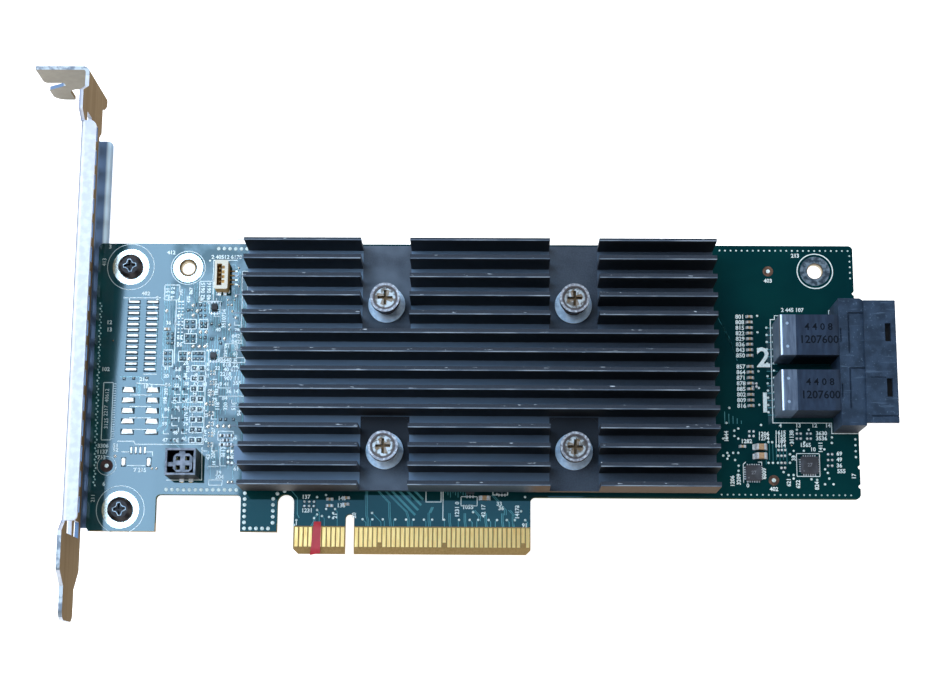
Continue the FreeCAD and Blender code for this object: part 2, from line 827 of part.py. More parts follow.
nodes = {
    "circuit_board": circuit_board(),
    "edge_contacts_front": edge_contacts(0),
    "edge_contacts_back": edge_contacts(solder_side),
    "bracket": bracket(),
    "bracket_screws": [bracket_screw(x, y) for x, y in ear_screws],
    "heat_sink": heat_sink(),
    "heat_sink_screws": [sink_screw(x, y) for x, y in sink_screws_at()],
    "screw_springs": [screw_spring(x, y) for x, y in sink_screws_at()],
    "screw_washers": [screw_washer(x, y) for x, y in sink_screws_at()],
    "screw_retainers": [screw_retainer(x, y) for x, y in sink_screws_at()],
    "controller_chip": controller_chip(),
    "controller_thermal_pad": controller_thermal_pad(),
    "memory_chips": memory_chips(),
    "memory_thermal_pads": memory_thermal_pads(),
    "power_inductors": [block(x, y, *inductor_size) for x, y in inductor_middles],
    "receptacle_housing": receptacle_housing(),
    "port_contacts": port_contacts(),
    "debug_header": debug_header(),
    "debug_header_contacts": debug_contacts(),
    "cable_header": cable_header(),
    "cable_header_contacts": cable_contacts(),
    "small_ics": [leaded_ic(*package) for package in leaded_ics],
    "qfn_chips": [block(*package) for package in leadless_ics],
    "bulk_capacitors": [block(*package) for package in bulk_capacitors_at],
    "chip_capacitors": chip_capacitors(),
    "chip_resistors": [block(x, y, *small_chip) for x, y in resistors_at],
    "red_tape": red_tape()}
for number, y in enumerate(port_middles_y, start=1):
    nodes["port_body_%d" % number] = port_body(y)
    nodes["port_end_plate_%d" % number] = port_end_plate(y)

os.makedirs("parts", exist_ok=True)
for name, shape in nodes.items():
    if isinstance(shape, list):
        shape = Part.makeCompound(shape)
    shape.translate(Vector(-key_x, 0, 0))
    shape.exportStep("parts/" + name + ".step")
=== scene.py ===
import math
import random

import bmesh
import bpy
from mathutils import Euler, Matrix, Vector


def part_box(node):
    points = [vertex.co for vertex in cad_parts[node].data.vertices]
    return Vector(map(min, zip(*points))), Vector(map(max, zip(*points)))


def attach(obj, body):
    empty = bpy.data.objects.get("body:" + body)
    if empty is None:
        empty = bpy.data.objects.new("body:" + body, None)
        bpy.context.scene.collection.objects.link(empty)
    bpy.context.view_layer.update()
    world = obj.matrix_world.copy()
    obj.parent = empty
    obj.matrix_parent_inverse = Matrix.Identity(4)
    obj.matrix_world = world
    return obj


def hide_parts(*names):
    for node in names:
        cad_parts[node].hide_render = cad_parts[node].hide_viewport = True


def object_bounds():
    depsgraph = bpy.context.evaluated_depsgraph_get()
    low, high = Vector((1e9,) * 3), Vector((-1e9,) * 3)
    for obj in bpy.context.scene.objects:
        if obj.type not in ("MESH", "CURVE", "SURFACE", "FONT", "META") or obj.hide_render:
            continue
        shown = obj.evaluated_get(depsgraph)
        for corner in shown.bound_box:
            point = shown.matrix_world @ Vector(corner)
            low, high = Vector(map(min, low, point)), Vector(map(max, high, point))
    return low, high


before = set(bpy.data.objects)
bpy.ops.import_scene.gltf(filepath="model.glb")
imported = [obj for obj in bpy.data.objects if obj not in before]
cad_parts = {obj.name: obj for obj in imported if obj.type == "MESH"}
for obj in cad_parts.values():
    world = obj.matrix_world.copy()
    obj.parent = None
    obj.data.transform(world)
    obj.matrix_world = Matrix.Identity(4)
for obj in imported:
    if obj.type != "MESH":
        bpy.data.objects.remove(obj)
cad_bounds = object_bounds()
MM = 0.001


# ---- The studio ----
# A pale, evenly lit table under soft light. Three strips of pale blue sky hang where the
# bracket end of the card mirrors them, one panel over the bracket and a faint one for the
# tongue. The far end mirrors none.

scene = bpy.context.scene
scene.view_settings.view_transform = "Standard"
scene.world = bpy.data.worlds.new("room")
scene.world.use_nodes = True
room = scene.world.node_tree.nodes["Background"]
room.inputs["Color"].default_value = (0.55, 0.72, 1.0, 1.0)
room.inputs["Strength"].default_value = 0.05

table_drop = 0.3 * MM
table_half = 3.0
table_glow = 0.75
table_mesh = bpy.data.meshes.new("table")
table_z = cad_bounds[0][2] - table_drop
table_mesh.from_pydata(
    [(-table_half, -table_half, table_z), (table_half, -table_half, table_z),
     (table_half, table_half, table_z), (-table_half, table_half, table_z)], [], [(0, 1, 2, 3)])
table = bpy.data.objects.new("table", table_mesh)
scene.collection.objects.link(table)
table_paint = bpy.data.materials.new("pale_table")
table_paint.use_nodes = True
table_shader = table_paint.node_tree.nodes["Principled BSDF"]
for socket, value in (("Base Color", (0.93, 0.93, 0.93, 1.0)), ("Roughness", 0.9),
                      ("Emission Color", (1.0, 1.0, 1.0, 1.0)), ("Emission Strength", table_glow)):
    table_shader.inputs[socket].default_value = value
table_mesh.materials.append(table_paint)


def panel(name, place, aim, size, radiance, colour, turn=0.0):
    """A soft rectangular light of that size and brightness, facing the point it aims at."""
    light = bpy.data.lights.new(name, "AREA")
    light.shape = "RECTANGLE"
    light.size, light.size_y = size
    light.energy = radiance * math.pi * size[0] * size[1]
    light.color = colour
    lamp = bpy.data.objects.new(name, light)
    lamp.location = place
    lamp.rotation_euler = (Vector(aim) - Vector(place)).to_track_quat("-Z", "Y").to_euler()
    lamp.rotation_euler.z += math.radians(turn)
    scene.collection.objects.link(lamp)


sky_colour = (0.42, 0.7, 1.0)
sky_turn = -2.6
for number, (sky_x, sky_width, radiance) in enumerate((
        (-0.2368, 0.0356, 14.6), (-0.203, 0.032, 13.9), (-0.171, 0.032, 13.6))):
    panel("sky_panel_%d" % number, (sky_x, 0.225, 1.0), (sky_x, 0.225, 0), (sky_width, 0.34), radiance,
          sky_colour, sky_turn)
panel("bracket_sky", (-0.42, 0.25, 1.0), (-0.42, 0.25, 0), (0.28, 0.7), 5.2, (0.9, 0.93, 1.0))
panel("faint_sky", (-0.03, 0.125, 1.0), (-0.03, 0.125, 0), (0.26, 0.11), 2.1, (0.22, 0.62, 1.0))
panel("left_window", (-1.5, 0.3, 0.8), (0, 0, 0), (1.2, 1.4), 4.5, (0.86, 0.93, 1.0))
panel("far_wall", (0.1, 1.6, 0.9), (0, 0, 0), (1.8, 1.0), 4.0, (1.0, 0.98, 0.95))
panel("right_wall", (1.5, 0.1, 0.8), (0, 0, 0), (1.4, 1.1), 3.5, (1.0, 0.97, 0.93))
panel("near_wall", (0.0, -1.5, 0.7), (0, 0, 0), (1.8, 0.9), 3.0, (1.0, 0.97, 0.93))

camera = bpy.data.cameras.new("camera")
camera.sensor_width = 36.0
camera.lens = 73.02
camera.clip_start = 0.01
viewer = bpy.data.objects.new("camera", camera)
viewer.location = (30.34 * MM, -38.75 * MM, 406.76 * MM)
viewer.rotation_euler = Euler([math.radians(turn) for turn in (11.632, 0.714, 0.407)])
scene.collection.objects.link(viewer)
scene.camera = viewer


# ---- Circuit board ----
# A pressed glass-fibre laminate, routed to shape, under a glossy teal solder mask. The
# contact tongue is left bare between its contacts, and every cut edge shows the laminate.

board_low, board_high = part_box("circuit_board")


def at(x, y, z=0.0):
    """Millimetres from the board's bracket end, contact edge and component face, in the frame."""
    return Vector((board_low.x + x * MM, board_low.y + y * MM, board_high.z + z * MM))


def tint(red, green, blue):
    """A display colour, 0 to 255, as a shader colour."""
    parts = [part / 255 for part in (red, green, blue)]
    linear = [part / 12.92 if part < 0.04045 else ((part + 0.055) / 1.055) ** 2.4 for part in parts]
    return (*linear, 1.0)


class Value:
    """A shader socket. Arithmetic on it adds Math nodes to its own material."""

    def __init__(self, finish, socket):
        self.finish = finish
        self.socket = socket

    def math(self, operation, *others):
        return self.finish.node("Math", {"operation": operation}, dict(enumerate((self, *others))))

    def __abs__(self):
        return self.math("ABSOLUTE")

    def __add__(self, other):
        return self.math("ADD", other)

    def __mul__(self, other):
        return self.math("MULTIPLY", other)

    def __sub__(self, other):
        return self.math("SUBTRACT", other)

    def __rsub__(self, other):
        return self.finish.node("Math", {"operation": "SUBTRACT"}, {0: other, 1: self})

    def __gt__(self, other):
        return self.math("GREATER_THAN", other)

    def __lt__(self, other):
        return self.math("LESS_THAN", other)

    __radd__ = __add__
    __rmul__ = __mul__

    def ramp(self, low, high):
        """Goes smoothly from 0 where the value is low to 1 where it is high."""
        settings = {"interpolation_type": "SMOOTHSTEP"}
        values = {"Value": self, "From Min": low, "From Max": high}
        return self.finish.node("MapRange", settings, values)

    def between(self, low, high):
        return (self > low) * (self < high)


class Finish:
    """A material made of nodes, with the place on the board in millimetres as x, y and z."""

    def __init__(self, name):
        self.material = bpy.data.materials.new(name)
        self.material.use_nodes = True
        self.tree = self.material.node_tree
        self.shader = self.tree.nodes["Principled BSDF"]
        self.place = self.node("TexCoord", output="Object")
        axes = [self.node("SeparateXYZ", {}, {"Vector": self.place}, output=axis) for axis in "XYZ"]
        origin = at(0, 0)
        self.x, self.y, self.z = [(axis - start) * 1000 for axis, start in zip(axes, origin)]
        facing = self.node("TexCoord", output="Normal")
        self.face_x, self.face_y, self.face_z = [
            self.node("SeparateXYZ", {}, {"Vector": facing}, output=axis) for axis in "XYZ"]

    def node(self, kind, settings=None, values=None, output=0):
        """One node: its type, its settings, its sockets' values or links, and the output used."""
        made = self.tree.nodes.new("ShaderNode" + kind)
        for name, setting in (settings or {}).items():
            setattr(made, name, setting)
        for name, value in (values or {}).items():
            self.feed(made.inputs[name], value)
        return Value(self, made.outputs[output])

    def feed(self, socket, value):
        if isinstance(value, Value):
            self.tree.links.new(value.socket, socket)
        else:
            socket.default_value = value

    def mix(self, factor, colour_a, colour_b):
        """colour_a where the factor is 0 and colour_b where it is 1: sockets, or 0 to 255."""
        ends = [end if isinstance(end, Value) else tint(*end) for end in (colour_a, colour_b)]
        return self.node("Mix", {"data_type": "RGBA"}, {0: factor, 6: ends[0], 7: ends[1]}, output=2)

    def layers(self, colour, *coats):
        """Lays each coat, a factor and a colour, over the colour under it."""
        for factor, coat in coats:
            colour = self.mix(factor, colour, coat)
        return colour

    def noise(self, scale, detail=2.0, stretch=(1, 1, 1)):
        """Noise of that many cells a millimetre, stretched along the axes."""
        sizes = [scale * part / MM for part in stretch]
        place = self.node("VectorMath", {"operation": "MULTIPLY"}, {0: self.place, 1: sizes})
        return self.node("TexNoise", {}, {"Vector": place, "Scale": 1.0, "Detail": detail}, output="Fac")

    def bump(self, height, distance_mm, strength=1.0):
        values = {"Height": height, "Distance": distance_mm * MM, "Strength": strength}
        return self.node("Bump", {}, values)

    def surface(self, **values):
        """Sets the shader's sockets, named as in the shader with underscores for spaces."""
        for name, value in values.items():
            self.feed(self.shader.inputs[name.replace("_", " ")], value)
        return self.material

    def grained(self, colour, patch, rough, relief=0.0, **more):
        """A surface whose patches show in its roughness, a least and a span, and its relief."""
        if relief:
            more["Normal"] = self.bump(patch, relief)
        return self.surface(Base_Color=colour, Roughness=rough[0] + patch * rough[1], **more)


def mottled(name, grain, spread, shade, light, rough, relief=0.0, **more):
    """A finish in two colours, with patches of that grain in its colour, roughness and relief."""
    finish = Finish(name)
    patch = finish.noise(*grain)
    return finish.grained(finish.mix(patch.ramp(*spread), shade, light), patch, rough, relief, **more)


def dress(material, *nodes):
    """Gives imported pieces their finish."""
    for node in nodes:
        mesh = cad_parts[node].data
        mesh.materials.clear()
        mesh.materials.append(material)


tongue_x = (44.9, 96.3)
tongue_bare_y = 5.95


def solder_mask(name, shade, light):
    """Teal mask over laminate and copper, a little uneven, with a clear gloss."""
    finish = Finish(name)
    cloud = finish.noise(0.05, 3.0)
    grain = finish.noise(2.5, 2.0)
    weave = finish.noise(0.9, 1.0, (1, 0.12, 1)) + finish.noise(0.9, 1.0, (0.12, 1, 1))
    mask_colour = finish.mix(cloud.ramp(0.35, 0.65), shade, light)
    laminate = finish.mix(grain, (124, 100, 60), (162, 138, 94))
    laminate = finish.mix(finish.y > 6.5, laminate, finish.mix(grain, (52, 66, 52), (96, 98, 72)))
    wired = finish.x.ramp(15.5, 18) * (1 - finish.x.ramp(33, 36)) * finish.y.ramp(15, 20)
    dull = wired * finish.noise(0.22, 3.0).ramp(0.42, 0.6)
    flat = abs(finish.face_z).ramp(0.6, 0.9)
    tongue = finish.x.between(*tongue_x) * (finish.y < tongue_bare_y)
    bare = 1 - flat * (1 - tongue)
    return finish.surface(
        Base_Color=finish.mix(bare, mask_colour, laminate),
        Roughness=0.5 + bare * 0.15,
        Specular_IOR_Level=0.0,
        Coat_Weight=(1 - bare) * (1 - dull * 0.45),
        Coat_Roughness=0.03,
        Normal=finish.bump(weave * 0.5 + grain * 0.15, 0.003))


dress(solder_mask("teal_solder_mask", (2, 43, 48), (4, 51, 54)), "circuit_board")


# ---- Tracks ----
# Etched copper under the mask, which stands up a few hundredths of a millimetre and shows
# as paler lines: pairs to the contacts, and the dense wiring at the bracket end.

class Mould:
    """Gathers the closed prisms of one piece, drawn in millimetres on the board."""

    def __init__(self):
        self.mesh = bmesh.new()

    def rings(self, *loops):
        """A closed solid through loops of points that climb from its floor to its top."""
        corners = [[self.mesh.verts.new(at(*point)) for point in loop] for loop in loops]
        self.mesh.faces.new(corners[0][::-1])
        self.mesh.faces.new(corners[-1])
        for lower, upper in zip(corners, corners[1:]):
            for number in range(len(lower)):
                other = (number + 1) % len(lower)
                self.mesh.faces.new((lower[number], lower[other], upper[other], upper[number]))

    def prism(self, outline, low, high):
        """A prism over an anticlockwise (x, y) outline."""
        self.rings([(x, y, low) for x, y in outline], [(x, y, high) for x, y in outline])

    def slab(self, x, y, length, width, low, high):
        """A rectangle with its middle at (x, y)."""
        self.prism(oblong(x, y, length, width), low, high)

    def disc(self, x, y, radius, low, high, sides=16):
        self.prism(circle(x, y, radius, sides), low, high)

    def pillow(self, outline, low, height, soft=0.14):
        """A flat mound over an outline, such as a pad that solder has been drawn over."""
        middle_x = sum(x for x, y in outline) / len(outline)
        middle_y = sum(y for x, y in outline) / len(outline)
        loops = []
        for inset, rise in ((0, 0), (0.2, 0.6), (1, 1)):
            loops.append([(x - math.copysign(soft * inset, x - middle_x),
                           y - math.copysign(soft * inset, y - middle_y), low + height * rise)
                          for x, y in outline])
        self.rings(*loops)

    def dome(self, x, y, radius, low, height, sides=12):
        """A low rounded mound, such as a soldered test point."""
        loops = []
        for step in (0, 0.35, 0.7, 0.93):
            rise = math.pi / 2 * step
            spots = circle(x, y, radius * math.cos(rise), sides)
            loops.append([(a, b, low + height * math.sin(rise)) for a, b in spots])
        self.rings(*loops)

    def turned(self, x, y, profile, sides=64):
        """A closed outline of radius and level, turned about (x, y): a ring, or a hole's wall."""
        loops = []
        for reach, level in profile:
            loops.append([self.mesh.verts.new(at(a, b, level)) for a, b in circle(x, y, reach, sides)])
        for loop, following in zip(loops, loops[1:] + loops[:1]):
            for side in range(sides):
                other = (side + 1) % sides
                self.mesh.faces.new((loop[side], loop[other], following[other], following[side]))

    def ring(self, x, y, inner, outer, low, high):
        """A flat ring."""
        self.turned(x, y, ((outer, low), (outer, high), (inner, high), (inner, low)))

    def line(self, points, width, low, high):
        """A line of that width along straight runs, its corners mitred."""
        places = [Vector(point) for point in points]
        sides = []
        for number, place in enumerate(places):
            back = (place - places[max(number - 1, 0)]).normalized()
            ahead = (places[min(number + 1, len(places) - 1)] - place).normalized()
            along = (back + ahead).normalized()
            across = Vector((-along.y, along.x))
            square = max(abs(across.dot(Vector((-ahead.y, ahead.x)))), 0.4) if number < len(places) - 1 else 1
            sides.append((place + across * width / 2 / square, place - across * width / 2 / square))
        outline = [right for left, right in sides] + [left for left, right in sides[::-1]]
        self.prism(outline, low, high)

    def frame(self, x0, y0, x1, y1, width, low, high):
        """A rectangular outline."""
        self.line(((x0, y0), (x1, y0)), width, low, high)
        self.line(((x0, y1), (x1, y1)), width, low, high)
        self.line(((x0, y0 + width / 2), (x0, y1 - width / 2)), width, low, high)
        self.line(((x1, y0 + width / 2), (x1, y1 - width / 2)), width, low, high)

    def piece(self, name, material, smooth=False):
        """Turns what was gathered into an object that rides on the card."""
        mesh = bpy.data.meshes.new(name)
        self.mesh.to_mesh(mesh)
        self.mesh.free()
        mesh.materials.append(material)
        if smooth:
            mesh.shade_smooth()
        made = bpy.data.objects.new(name, mesh)
        scene.collection.objects.link(made)
        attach(made, "root")
        return made


def oblong(x, y, length, width):
    half_x, half_y = length / 2, width / 2
    return ((x - half_x, y - half_y), (x + half_x, y - half_y),
            (x + half_x, y + half_y), (x - half_x, y + half_y))


def circle(x, y, radius, sides):
    turns = [2 * math.pi * side / sides for side in range(sides)]
    return [(x + radius * math.cos(turn), y + radius * math.sin(turn)) for turn in turns]


track_top = 0.022
tracks = Mould()
dice = random.Random(7)


def track(*points, width=0.16):
    tracks.line(points, width, 0, track_top)


def track_pair(*points, gap=0.32, width=0.16):
    """Two tracks side by side, the second shifted across by the gap."""
    track(*points, width=width)
    track(*[(x + gap, y) for x, y in points], width=width)


pin_pads_top = 5.75
via_row_y = 7.47
contact_vias = [59.95, 62.05, 64.3, 67.0, 69.35, 70.95, 73.2, 75.0, 77.6, 80.8, 83.1, 84.95, 87.2,
                89.0, 91.15, 92.85, 95.1]
for number, via_x in enumerate(contact_vias):
    pin_x = round(via_x - 0.65 - 0.5) + 0.65 if number % 2 else round(via_x + 0.35 - 0.5) + 0.65
    shift = pin_x - via_x
    track((via_x, via_row_y), (pin_x, via_row_y - abs(shift)), (pin_x, pin_pads_top))

sink_edge_y = 15.0
track_pair((60.6, sink_edge_y), (60.6, 8.2), (60.9, 7.4), (61.0, pin_pads_top))
track_pair((61.8, sink_edge_y), (65.5, 11.1), (65.6, 8.2), (65.9, pin_pads_top))
track_pair((63.3, sink_edge_y), (69.3, 9.1), (69.75, 7.6), (69.9, pin_pads_top))
for start, end in (((64.9, 15.0), (71.3, 8.45)), ((66.5, 15.0), (71.95, 9.5)),
                   ((68.2, 15.0), (72.6, 10.6)), ((69.9, 15.0), (73.0, 11.8))):
    track(start, end, width=0.5)
track((61.98, 8.85), (63.9, 6.9), (63.95, pin_pads_top))
track_pair((74.3, 8.9), (74.9, 10.2), width=0.3)
track((44.2, 13.8), (45.7, 12.1), (45.75, 8.5), (46.2, 7.7))
track_pair((49.95, 8.5), (49.3, 7.7), (49.3, 6.9), (48.6, pin_pads_top))
for start in ((51.15, 8.13), (50.05, 9.4), (53.95, 9.6)):
    track(start, (start[0] + 0.5, start[1] - 0.6), (start[0] + 0.5, pin_pads_top))
for pair_x in (74.1, 78.6, 81.9, 86.4, 90.0, 92.3):
    track_pair((pair_x, 8.9), (pair_x, 7.2), (pair_x + 0.2, pin_pads_top))
for start_x, start_y in ((89.4, 10.95), (91.5, 9.6), (87.8, 12.9), (83.8, 9.6)):
    track_pair((start_x, start_y), (start_x + 1.2, start_y - 1.3), (start_x + 1.2, start_y - 2.4), gap=0.4)
for number in range(10):
    column = 77.8 + number * 0.55
    track((column, sink_edge_y), (column, 13.3 - number % 3 * 0.5), width=0.14)

lower_end_y = 24.4
for number in range(34):
    column = 15.1 + number * 0.55
    top_y = 60.2 - dice.random() * 5
    for _ in range(3):
        run = 2.5 + dice.random() * 7
        if top_y - run < lower_end_y:
            break
        jog = dice.choice((-0.55, 0.0, 0.55))
        track((column, top_y), (column, top_y - run), (column + jog, top_y - run - abs(jog)),
              (column + jog, top_y - run - 1.4), width=0.13)
        top_y -= run + 2.4 + dice.random() * 2
for number in range(14):
    column = 26.0 + number * 0.55
    top_y = 24.0 - dice.random() * 2
    track((column, top_y), (column, top_y - 2 - 5 * dice.random()), width=0.13)
for number in range(6):
    track((29.1 + number * 0.42, 46.2), (29.1 + number * 0.42, 43.0), width=0.15)
for number in range(5):
    track((15.3 + number * 0.5, 44.9), (15.3 + number * 0.5, 59.2), width=0.12)
track((6.0, 38.6), (10.3, 38.6), (10.3, 34.9))
for number in range(3):
    track((9.7 + number * 0.4, 36.9), (9.7 + number * 0.4, 35.6 - number), width=0.12)
    track((15.0 + number * 0.45, 36.4), (15.0 + number * 0.45, 27.6 + number * 0.4),
          (13.9 + number * 0.3, 26.2), width=0.14)
track((16.87, 36.6), (16.87, 27.35), (15.55, 25.96), width=0.24)
track((30.5, 63.6), (31.9, 62.2), (31.9, 56.0))
track((29.9, 64.0), (30.6, 64.0), (31.3, 63.0), (31.3, 60.0))
track((20.1, 22.4), (17.5, 25.0), width=0.14)
track((12.5, 55.3), (13.7, 52.9), (13.7, 40.0), width=0.12)
for row in range(13):
    track((148.0, 50.2 - row * 1.62), (150.4, 50.2 - row * 1.62), width=0.2)
for number in range(5):
    track((138.6 + number * 0.9, 31.5 - number * 0.5), (138.6 + number * 0.9, 28.8), width=0.15)
    track((137.6 + number * 0.55, 52.4 - number), (140.4 + number * 0.3, 46.8 - number), width=0.14)
for number in range(7):
    track((147.4 + number * 0.75, 24.8 - number * 0.2), (147.4 + number * 0.75, 19.9 + number % 2),
          width=0.13)

tracks.piece("masked_tracks", solder_mask("mask_over_copper", (52, 112, 120), (84, 144, 152)))


# ---- Plated holes, vias and test points ----
# Openings in the mask over tinned copper: wide rings round the screws and the two holes, rows
# of small filled vias round the board's edge, and round soldered test points.

tinned = Finish("tinned_copper")
tinned_wear = tinned.noise(1.6, 3.0)
tinned_colour = tinned.mix(tinned_wear.ramp(0.45, 0.75), (226, 228, 226), (196, 188, 170))
# Painted reflection: towards the bracket end, x under 6.2, the tinned copper turns brown.
tinned_paint = tinned.grained(
    tinned.mix(1 - tinned.x.ramp(3.4, 6.2), tinned_colour, (84, 66, 42)),
    tinned_wear, (0.1, 0.1), 0.012, Metallic=0.75)

ring_top = 0.03
screw_rings = ((7.3, 63.5), (7.3, 9.25))
near_hole = (20.1, 63.35, 2.0)
far_hole = (159.2, 63.1, 1.8)
rings = Mould()
rings.ring(near_hole[0], near_hole[1], near_hole[2] + 0.02, 3.3, 0, ring_top)
for ring_x, ring_y in screw_rings:
    rings.ring(ring_x, ring_y, 1.65, 4.05, 0, ring_top)
rings.piece("plated_rings", tinned_paint)

solder_paint = mottled("dull_solder", (1.0, 4.0), (0.4, 0.62), (58, 74, 88), (120, 140, 156),
                       (0.34, 0.2), 0.05, Metallic=0.6)
far_ring = Mould()
far_ring.ring(far_hole[0], far_hole[1], far_hole[2] + 0.02, 3.3, 0, 0.06)
far_ring.piece("far_hole_ring", solder_paint)
wall = Mould()
lip_level, shoulder_level, foot_level = 0.035, -0.45, -1.58
for (hole_x, hole_y, radius), shoulder in ((near_hole, 0.58), (far_hole, 0.22)):
    wall.turned(hole_x, hole_y, (
        (radius, lip_level), (radius - 0.08, lip_level), (radius - shoulder, shoulder_level),
        (radius - shoulder, foot_level), (radius, foot_level)))
barrel = Finish("plated_barrel")
barrel_streak = barrel.noise(1.5, 3.0, (1, 1, 0.3))
barrel_depths = barrel.mix(barrel_streak.ramp(0.35, 0.7), (84, 70, 46), (124, 104, 72))
wall.piece("plated_barrels", barrel.grained(
    barrel.mix(barrel.z.ramp(-0.46, -0.2), (214, 202, 176), barrel_depths),
    barrel_streak, (0.35, 0.2), 0.02, Metallic=0.3))


def row_of(count, x, y, step_x, step_y=0.0):
    """That many places in a straight row."""
    return [(x + step_x * step, y + step_y * step) for step in range(count)]


small_spots = (row_of(24, 138.2, 67.75, 1.235) + row_of(5, 166.95, 66.6, 0, -1.27)
               + row_of(23, 137.6, 13.25, 1.27))
wide_spots = (row_of(6, 26.75, 67.75, 1.27) + row_of(13, 17.1, 13.7, 1.27)
              + row_of(6, 34.25, 13.0, 0, -1.27) + row_of(5, 34.3, 5.36, 1.3)
              + row_of(5, 40.45, 11.8, 0, -1.3) + [(41.34, 12.95), (42.89, 13.52)])
via_spots = (row_of(4, 166.85, 25.5, 0, -1.3) + row_of(6, 148.17, 50.24, 0, -1.6)
             + row_of(6, 148.17, 39.4, 0, -1.6) + row_of(12, 149.6, 50.24, 0, -1.6)
             + [(via_x, via_row_y) for via_x in contact_vias])
via_spots += (
    (45.12, 6.14), (45.61, 7.23), (49.96, 12.25), (50.02, 9.42), (51.14, 8.13), (50.05, 8.47),
    (49.41, 7.68), (52.66, 7.92), (53.51, 8.79), (53.53, 7.71), (53.92, 9.66), (51.9, 12.7), (51.97, 9.65),
    (61.96, 8.84), (83.82, 9.18), (93.55, 10.3), (94.2, 9.4), (95.06, 12.5), (139.65, 32.31),
    (138.96, 28.99), (141.48, 27.74), (140.63, 27.27), (140.61, 26.1), (141.43, 25.54), (146.47, 28.56),
    (154.24, 27.56), (156.79, 27.57), (161.79, 25.9), (161.75, 24.7), (138.17, 25.52), (138.98, 25.53),
    (147.96, 24.79), (148.8, 24.79), (153.14, 24.81), (155.77, 24.83), (155.63, 22.94), (152.6, 22.15),
    (153.36, 21.68), (139.27, 21.76), (140.28, 22.39), (141.36, 22.4), (138.1, 21.76), (140.65, 20.83),
    (147.91, 20.24), (148.84, 20.25), (149.92, 20.25), (152.55, 20.27), (151.1, 18.23), (160.08, 18.9),
    (160.68, 18.12), (160.95, 16.88), (159.98, 15.63), (161.83, 15.64), (160.07, 23.28), (152.17, 17.61),
    (153.25, 17.62), (153.23, 16.84), (158.31, 16.55), (157.08, 16.7), (141.39, 19.58), (141.37, 18.49),
    (139.0, 22.4), (139.0, 21.1))
port_rows = [52.64 - 1.245 * (number if number < 8 else number + 1) for number in range(16)]
via_spots += [(146.2, row_y + 0.3) for row_y in port_rows[::3]]
vias = Mould()
for spots, radius, height, sides in ((via_spots, 0.27, 0.05, 10), (small_spots, 0.2, 0.05, 10),
                                     (wide_spots, 0.42, 0.035, 12)):
    for via_x, via_y in spots:
        vias.dome(via_x, via_y, radius, 0, height, sides)
stitches = Mould()
edge_stitches = 66
for number in range(edge_stitches):
    stitch_y = 55.2 - 0.625 * number
    stitch_x = 0.85 + number * 0.006 + number % 2 * 0.3 + dice.uniform(-0.05, 0.05)
    stitches.pillow([(stitch_x + a, stitch_y + b) for a, b in (
        (-0.22, -0.1), (0.1, -0.26), (0.22, 0.06), (-0.1, 0.24))], 0, 0.05, 0.08)
filled = Finish("filled_vias")
filled_grain = filled.noise(2.4, 2.0)
far_row = filled.x.ramp(134.0, 137.0) * (1 - filled.y.ramp(13.4, 13.6))
filled_colour = filled.mix(filled_grain.ramp(0.35, 0.65), (178, 204, 206), (226, 240, 242))
filled_paint = filled.grained(
    filled.mix(far_row, filled_colour, (168, 192, 194)),
    filled_grain, (0.4, 0.2), 0.02, Metallic=0.1, Coat_Weight=0.7, Coat_Roughness=0.2)
vias.piece("filled_vias", filled_paint, smooth=True)
stitches.piece("edge_stitches", mottled(
    "edge_stitch", (1.2, 2.0), (0.35, 0.65), (74, 116, 122), (150, 180, 182), (0.5, 0.2), 0.02))

test_points = (
    (15.65, 53.5, 0.4), (21.49, 54.78, 0.4), (22.45, 53.5, 0.4), (21.57, 52.51, 0.4), (23.32, 48.72, 0.4),
    (24.62, 48.73, 0.4), (21.83, 45.47, 0.4), (23.21, 45.47, 0.4), (24.45, 45.48, 0.4), (21.0, 43.92, 0.42),
    (21.05, 42.65, 0.42), (31.0, 56.98, 0.38), (31.1, 52.01, 0.36), (28.73, 47.25, 0.4),
    (29.74, 50.36, 0.35), (29.72, 49.37, 0.32), (31.36, 63.32, 0.26), (31.49, 59.18, 0.24),
    (4.07, 46.71, 0.2), (25.23, 32.61, 0.4), (25.68, 27.53, 0.4), (27.87, 27.68, 0.4), (29.19, 27.69, 0.4),
    (30.42, 27.69, 0.4), (5.64, 20.94, 0.34), (13.81, 18.29, 0.28), (14.77, 18.3, 0.28),
    (30.54, 15.39, 0.36), (31.36, 15.4, 0.36), (153.0, 24.1, 0.2), (30.09, 54.9, 0.3), (29.22, 56.03, 0.28),
    (30.28, 53.48, 0.32), (29.26, 54.9, 0.24), (30.65, 56.0, 0.22))
points = Mould()
for point_x, point_y, radius in test_points:
    points.dome(point_x, point_y, radius, 0, 0.14, sides=14)
hole_dots = Mould()
for hole_x, hole_y, reach in ((near_hole[0], near_hole[1], 2.72), (far_hole[0], far_hole[1], 2.55)):
    for spot_x, spot_y in circle(hole_x, hole_y, reach, 8):
        hole_dots.dome(spot_x, spot_y, 0.17, 0.02, 0.05, sides=10)
points.piece("test_points", tinned_paint, smooth=True)
hole_dots.piece("ring_vias", solder_paint, smooth=True)


# ---- Empty footprints ----
# Pads for parts that were never fitted. Their solder has been drawn flat and bright, and each
# sits in a dark slot of bare laminate where the mask stops short of it. Each slot reaches
# further on its low-y side, a painted shadow along the pad's lower edge.

moat_top = 0.012
pads = Mould()
dull_pads = Mould()
moats = Mould()
crown_highlights = Mould()


def pad(x, y, length, width, moat=0.14):
    """A drawn pad with its ends rounded off, in its slot."""
    cut = min(length, width) * 0.3
    end, side = length / 2, width / 2
    pads.pillow([(x + a, y + b) for a, b in (
        (cut - end, -side), (end - cut, -side), (end, cut - side), (end, side - cut),
        (end - cut, side), (cut - end, side), (-end, side - cut), (-end, cut - side))],
        0, 0.07, soft=cut * 0.6)
    # The slot is shifted to low y: a painted shadow along the pad's lower edge.
    moats.slab(x, y - moat * 0.3, length + moat, width + moat * 1.6, 0, moat_top)


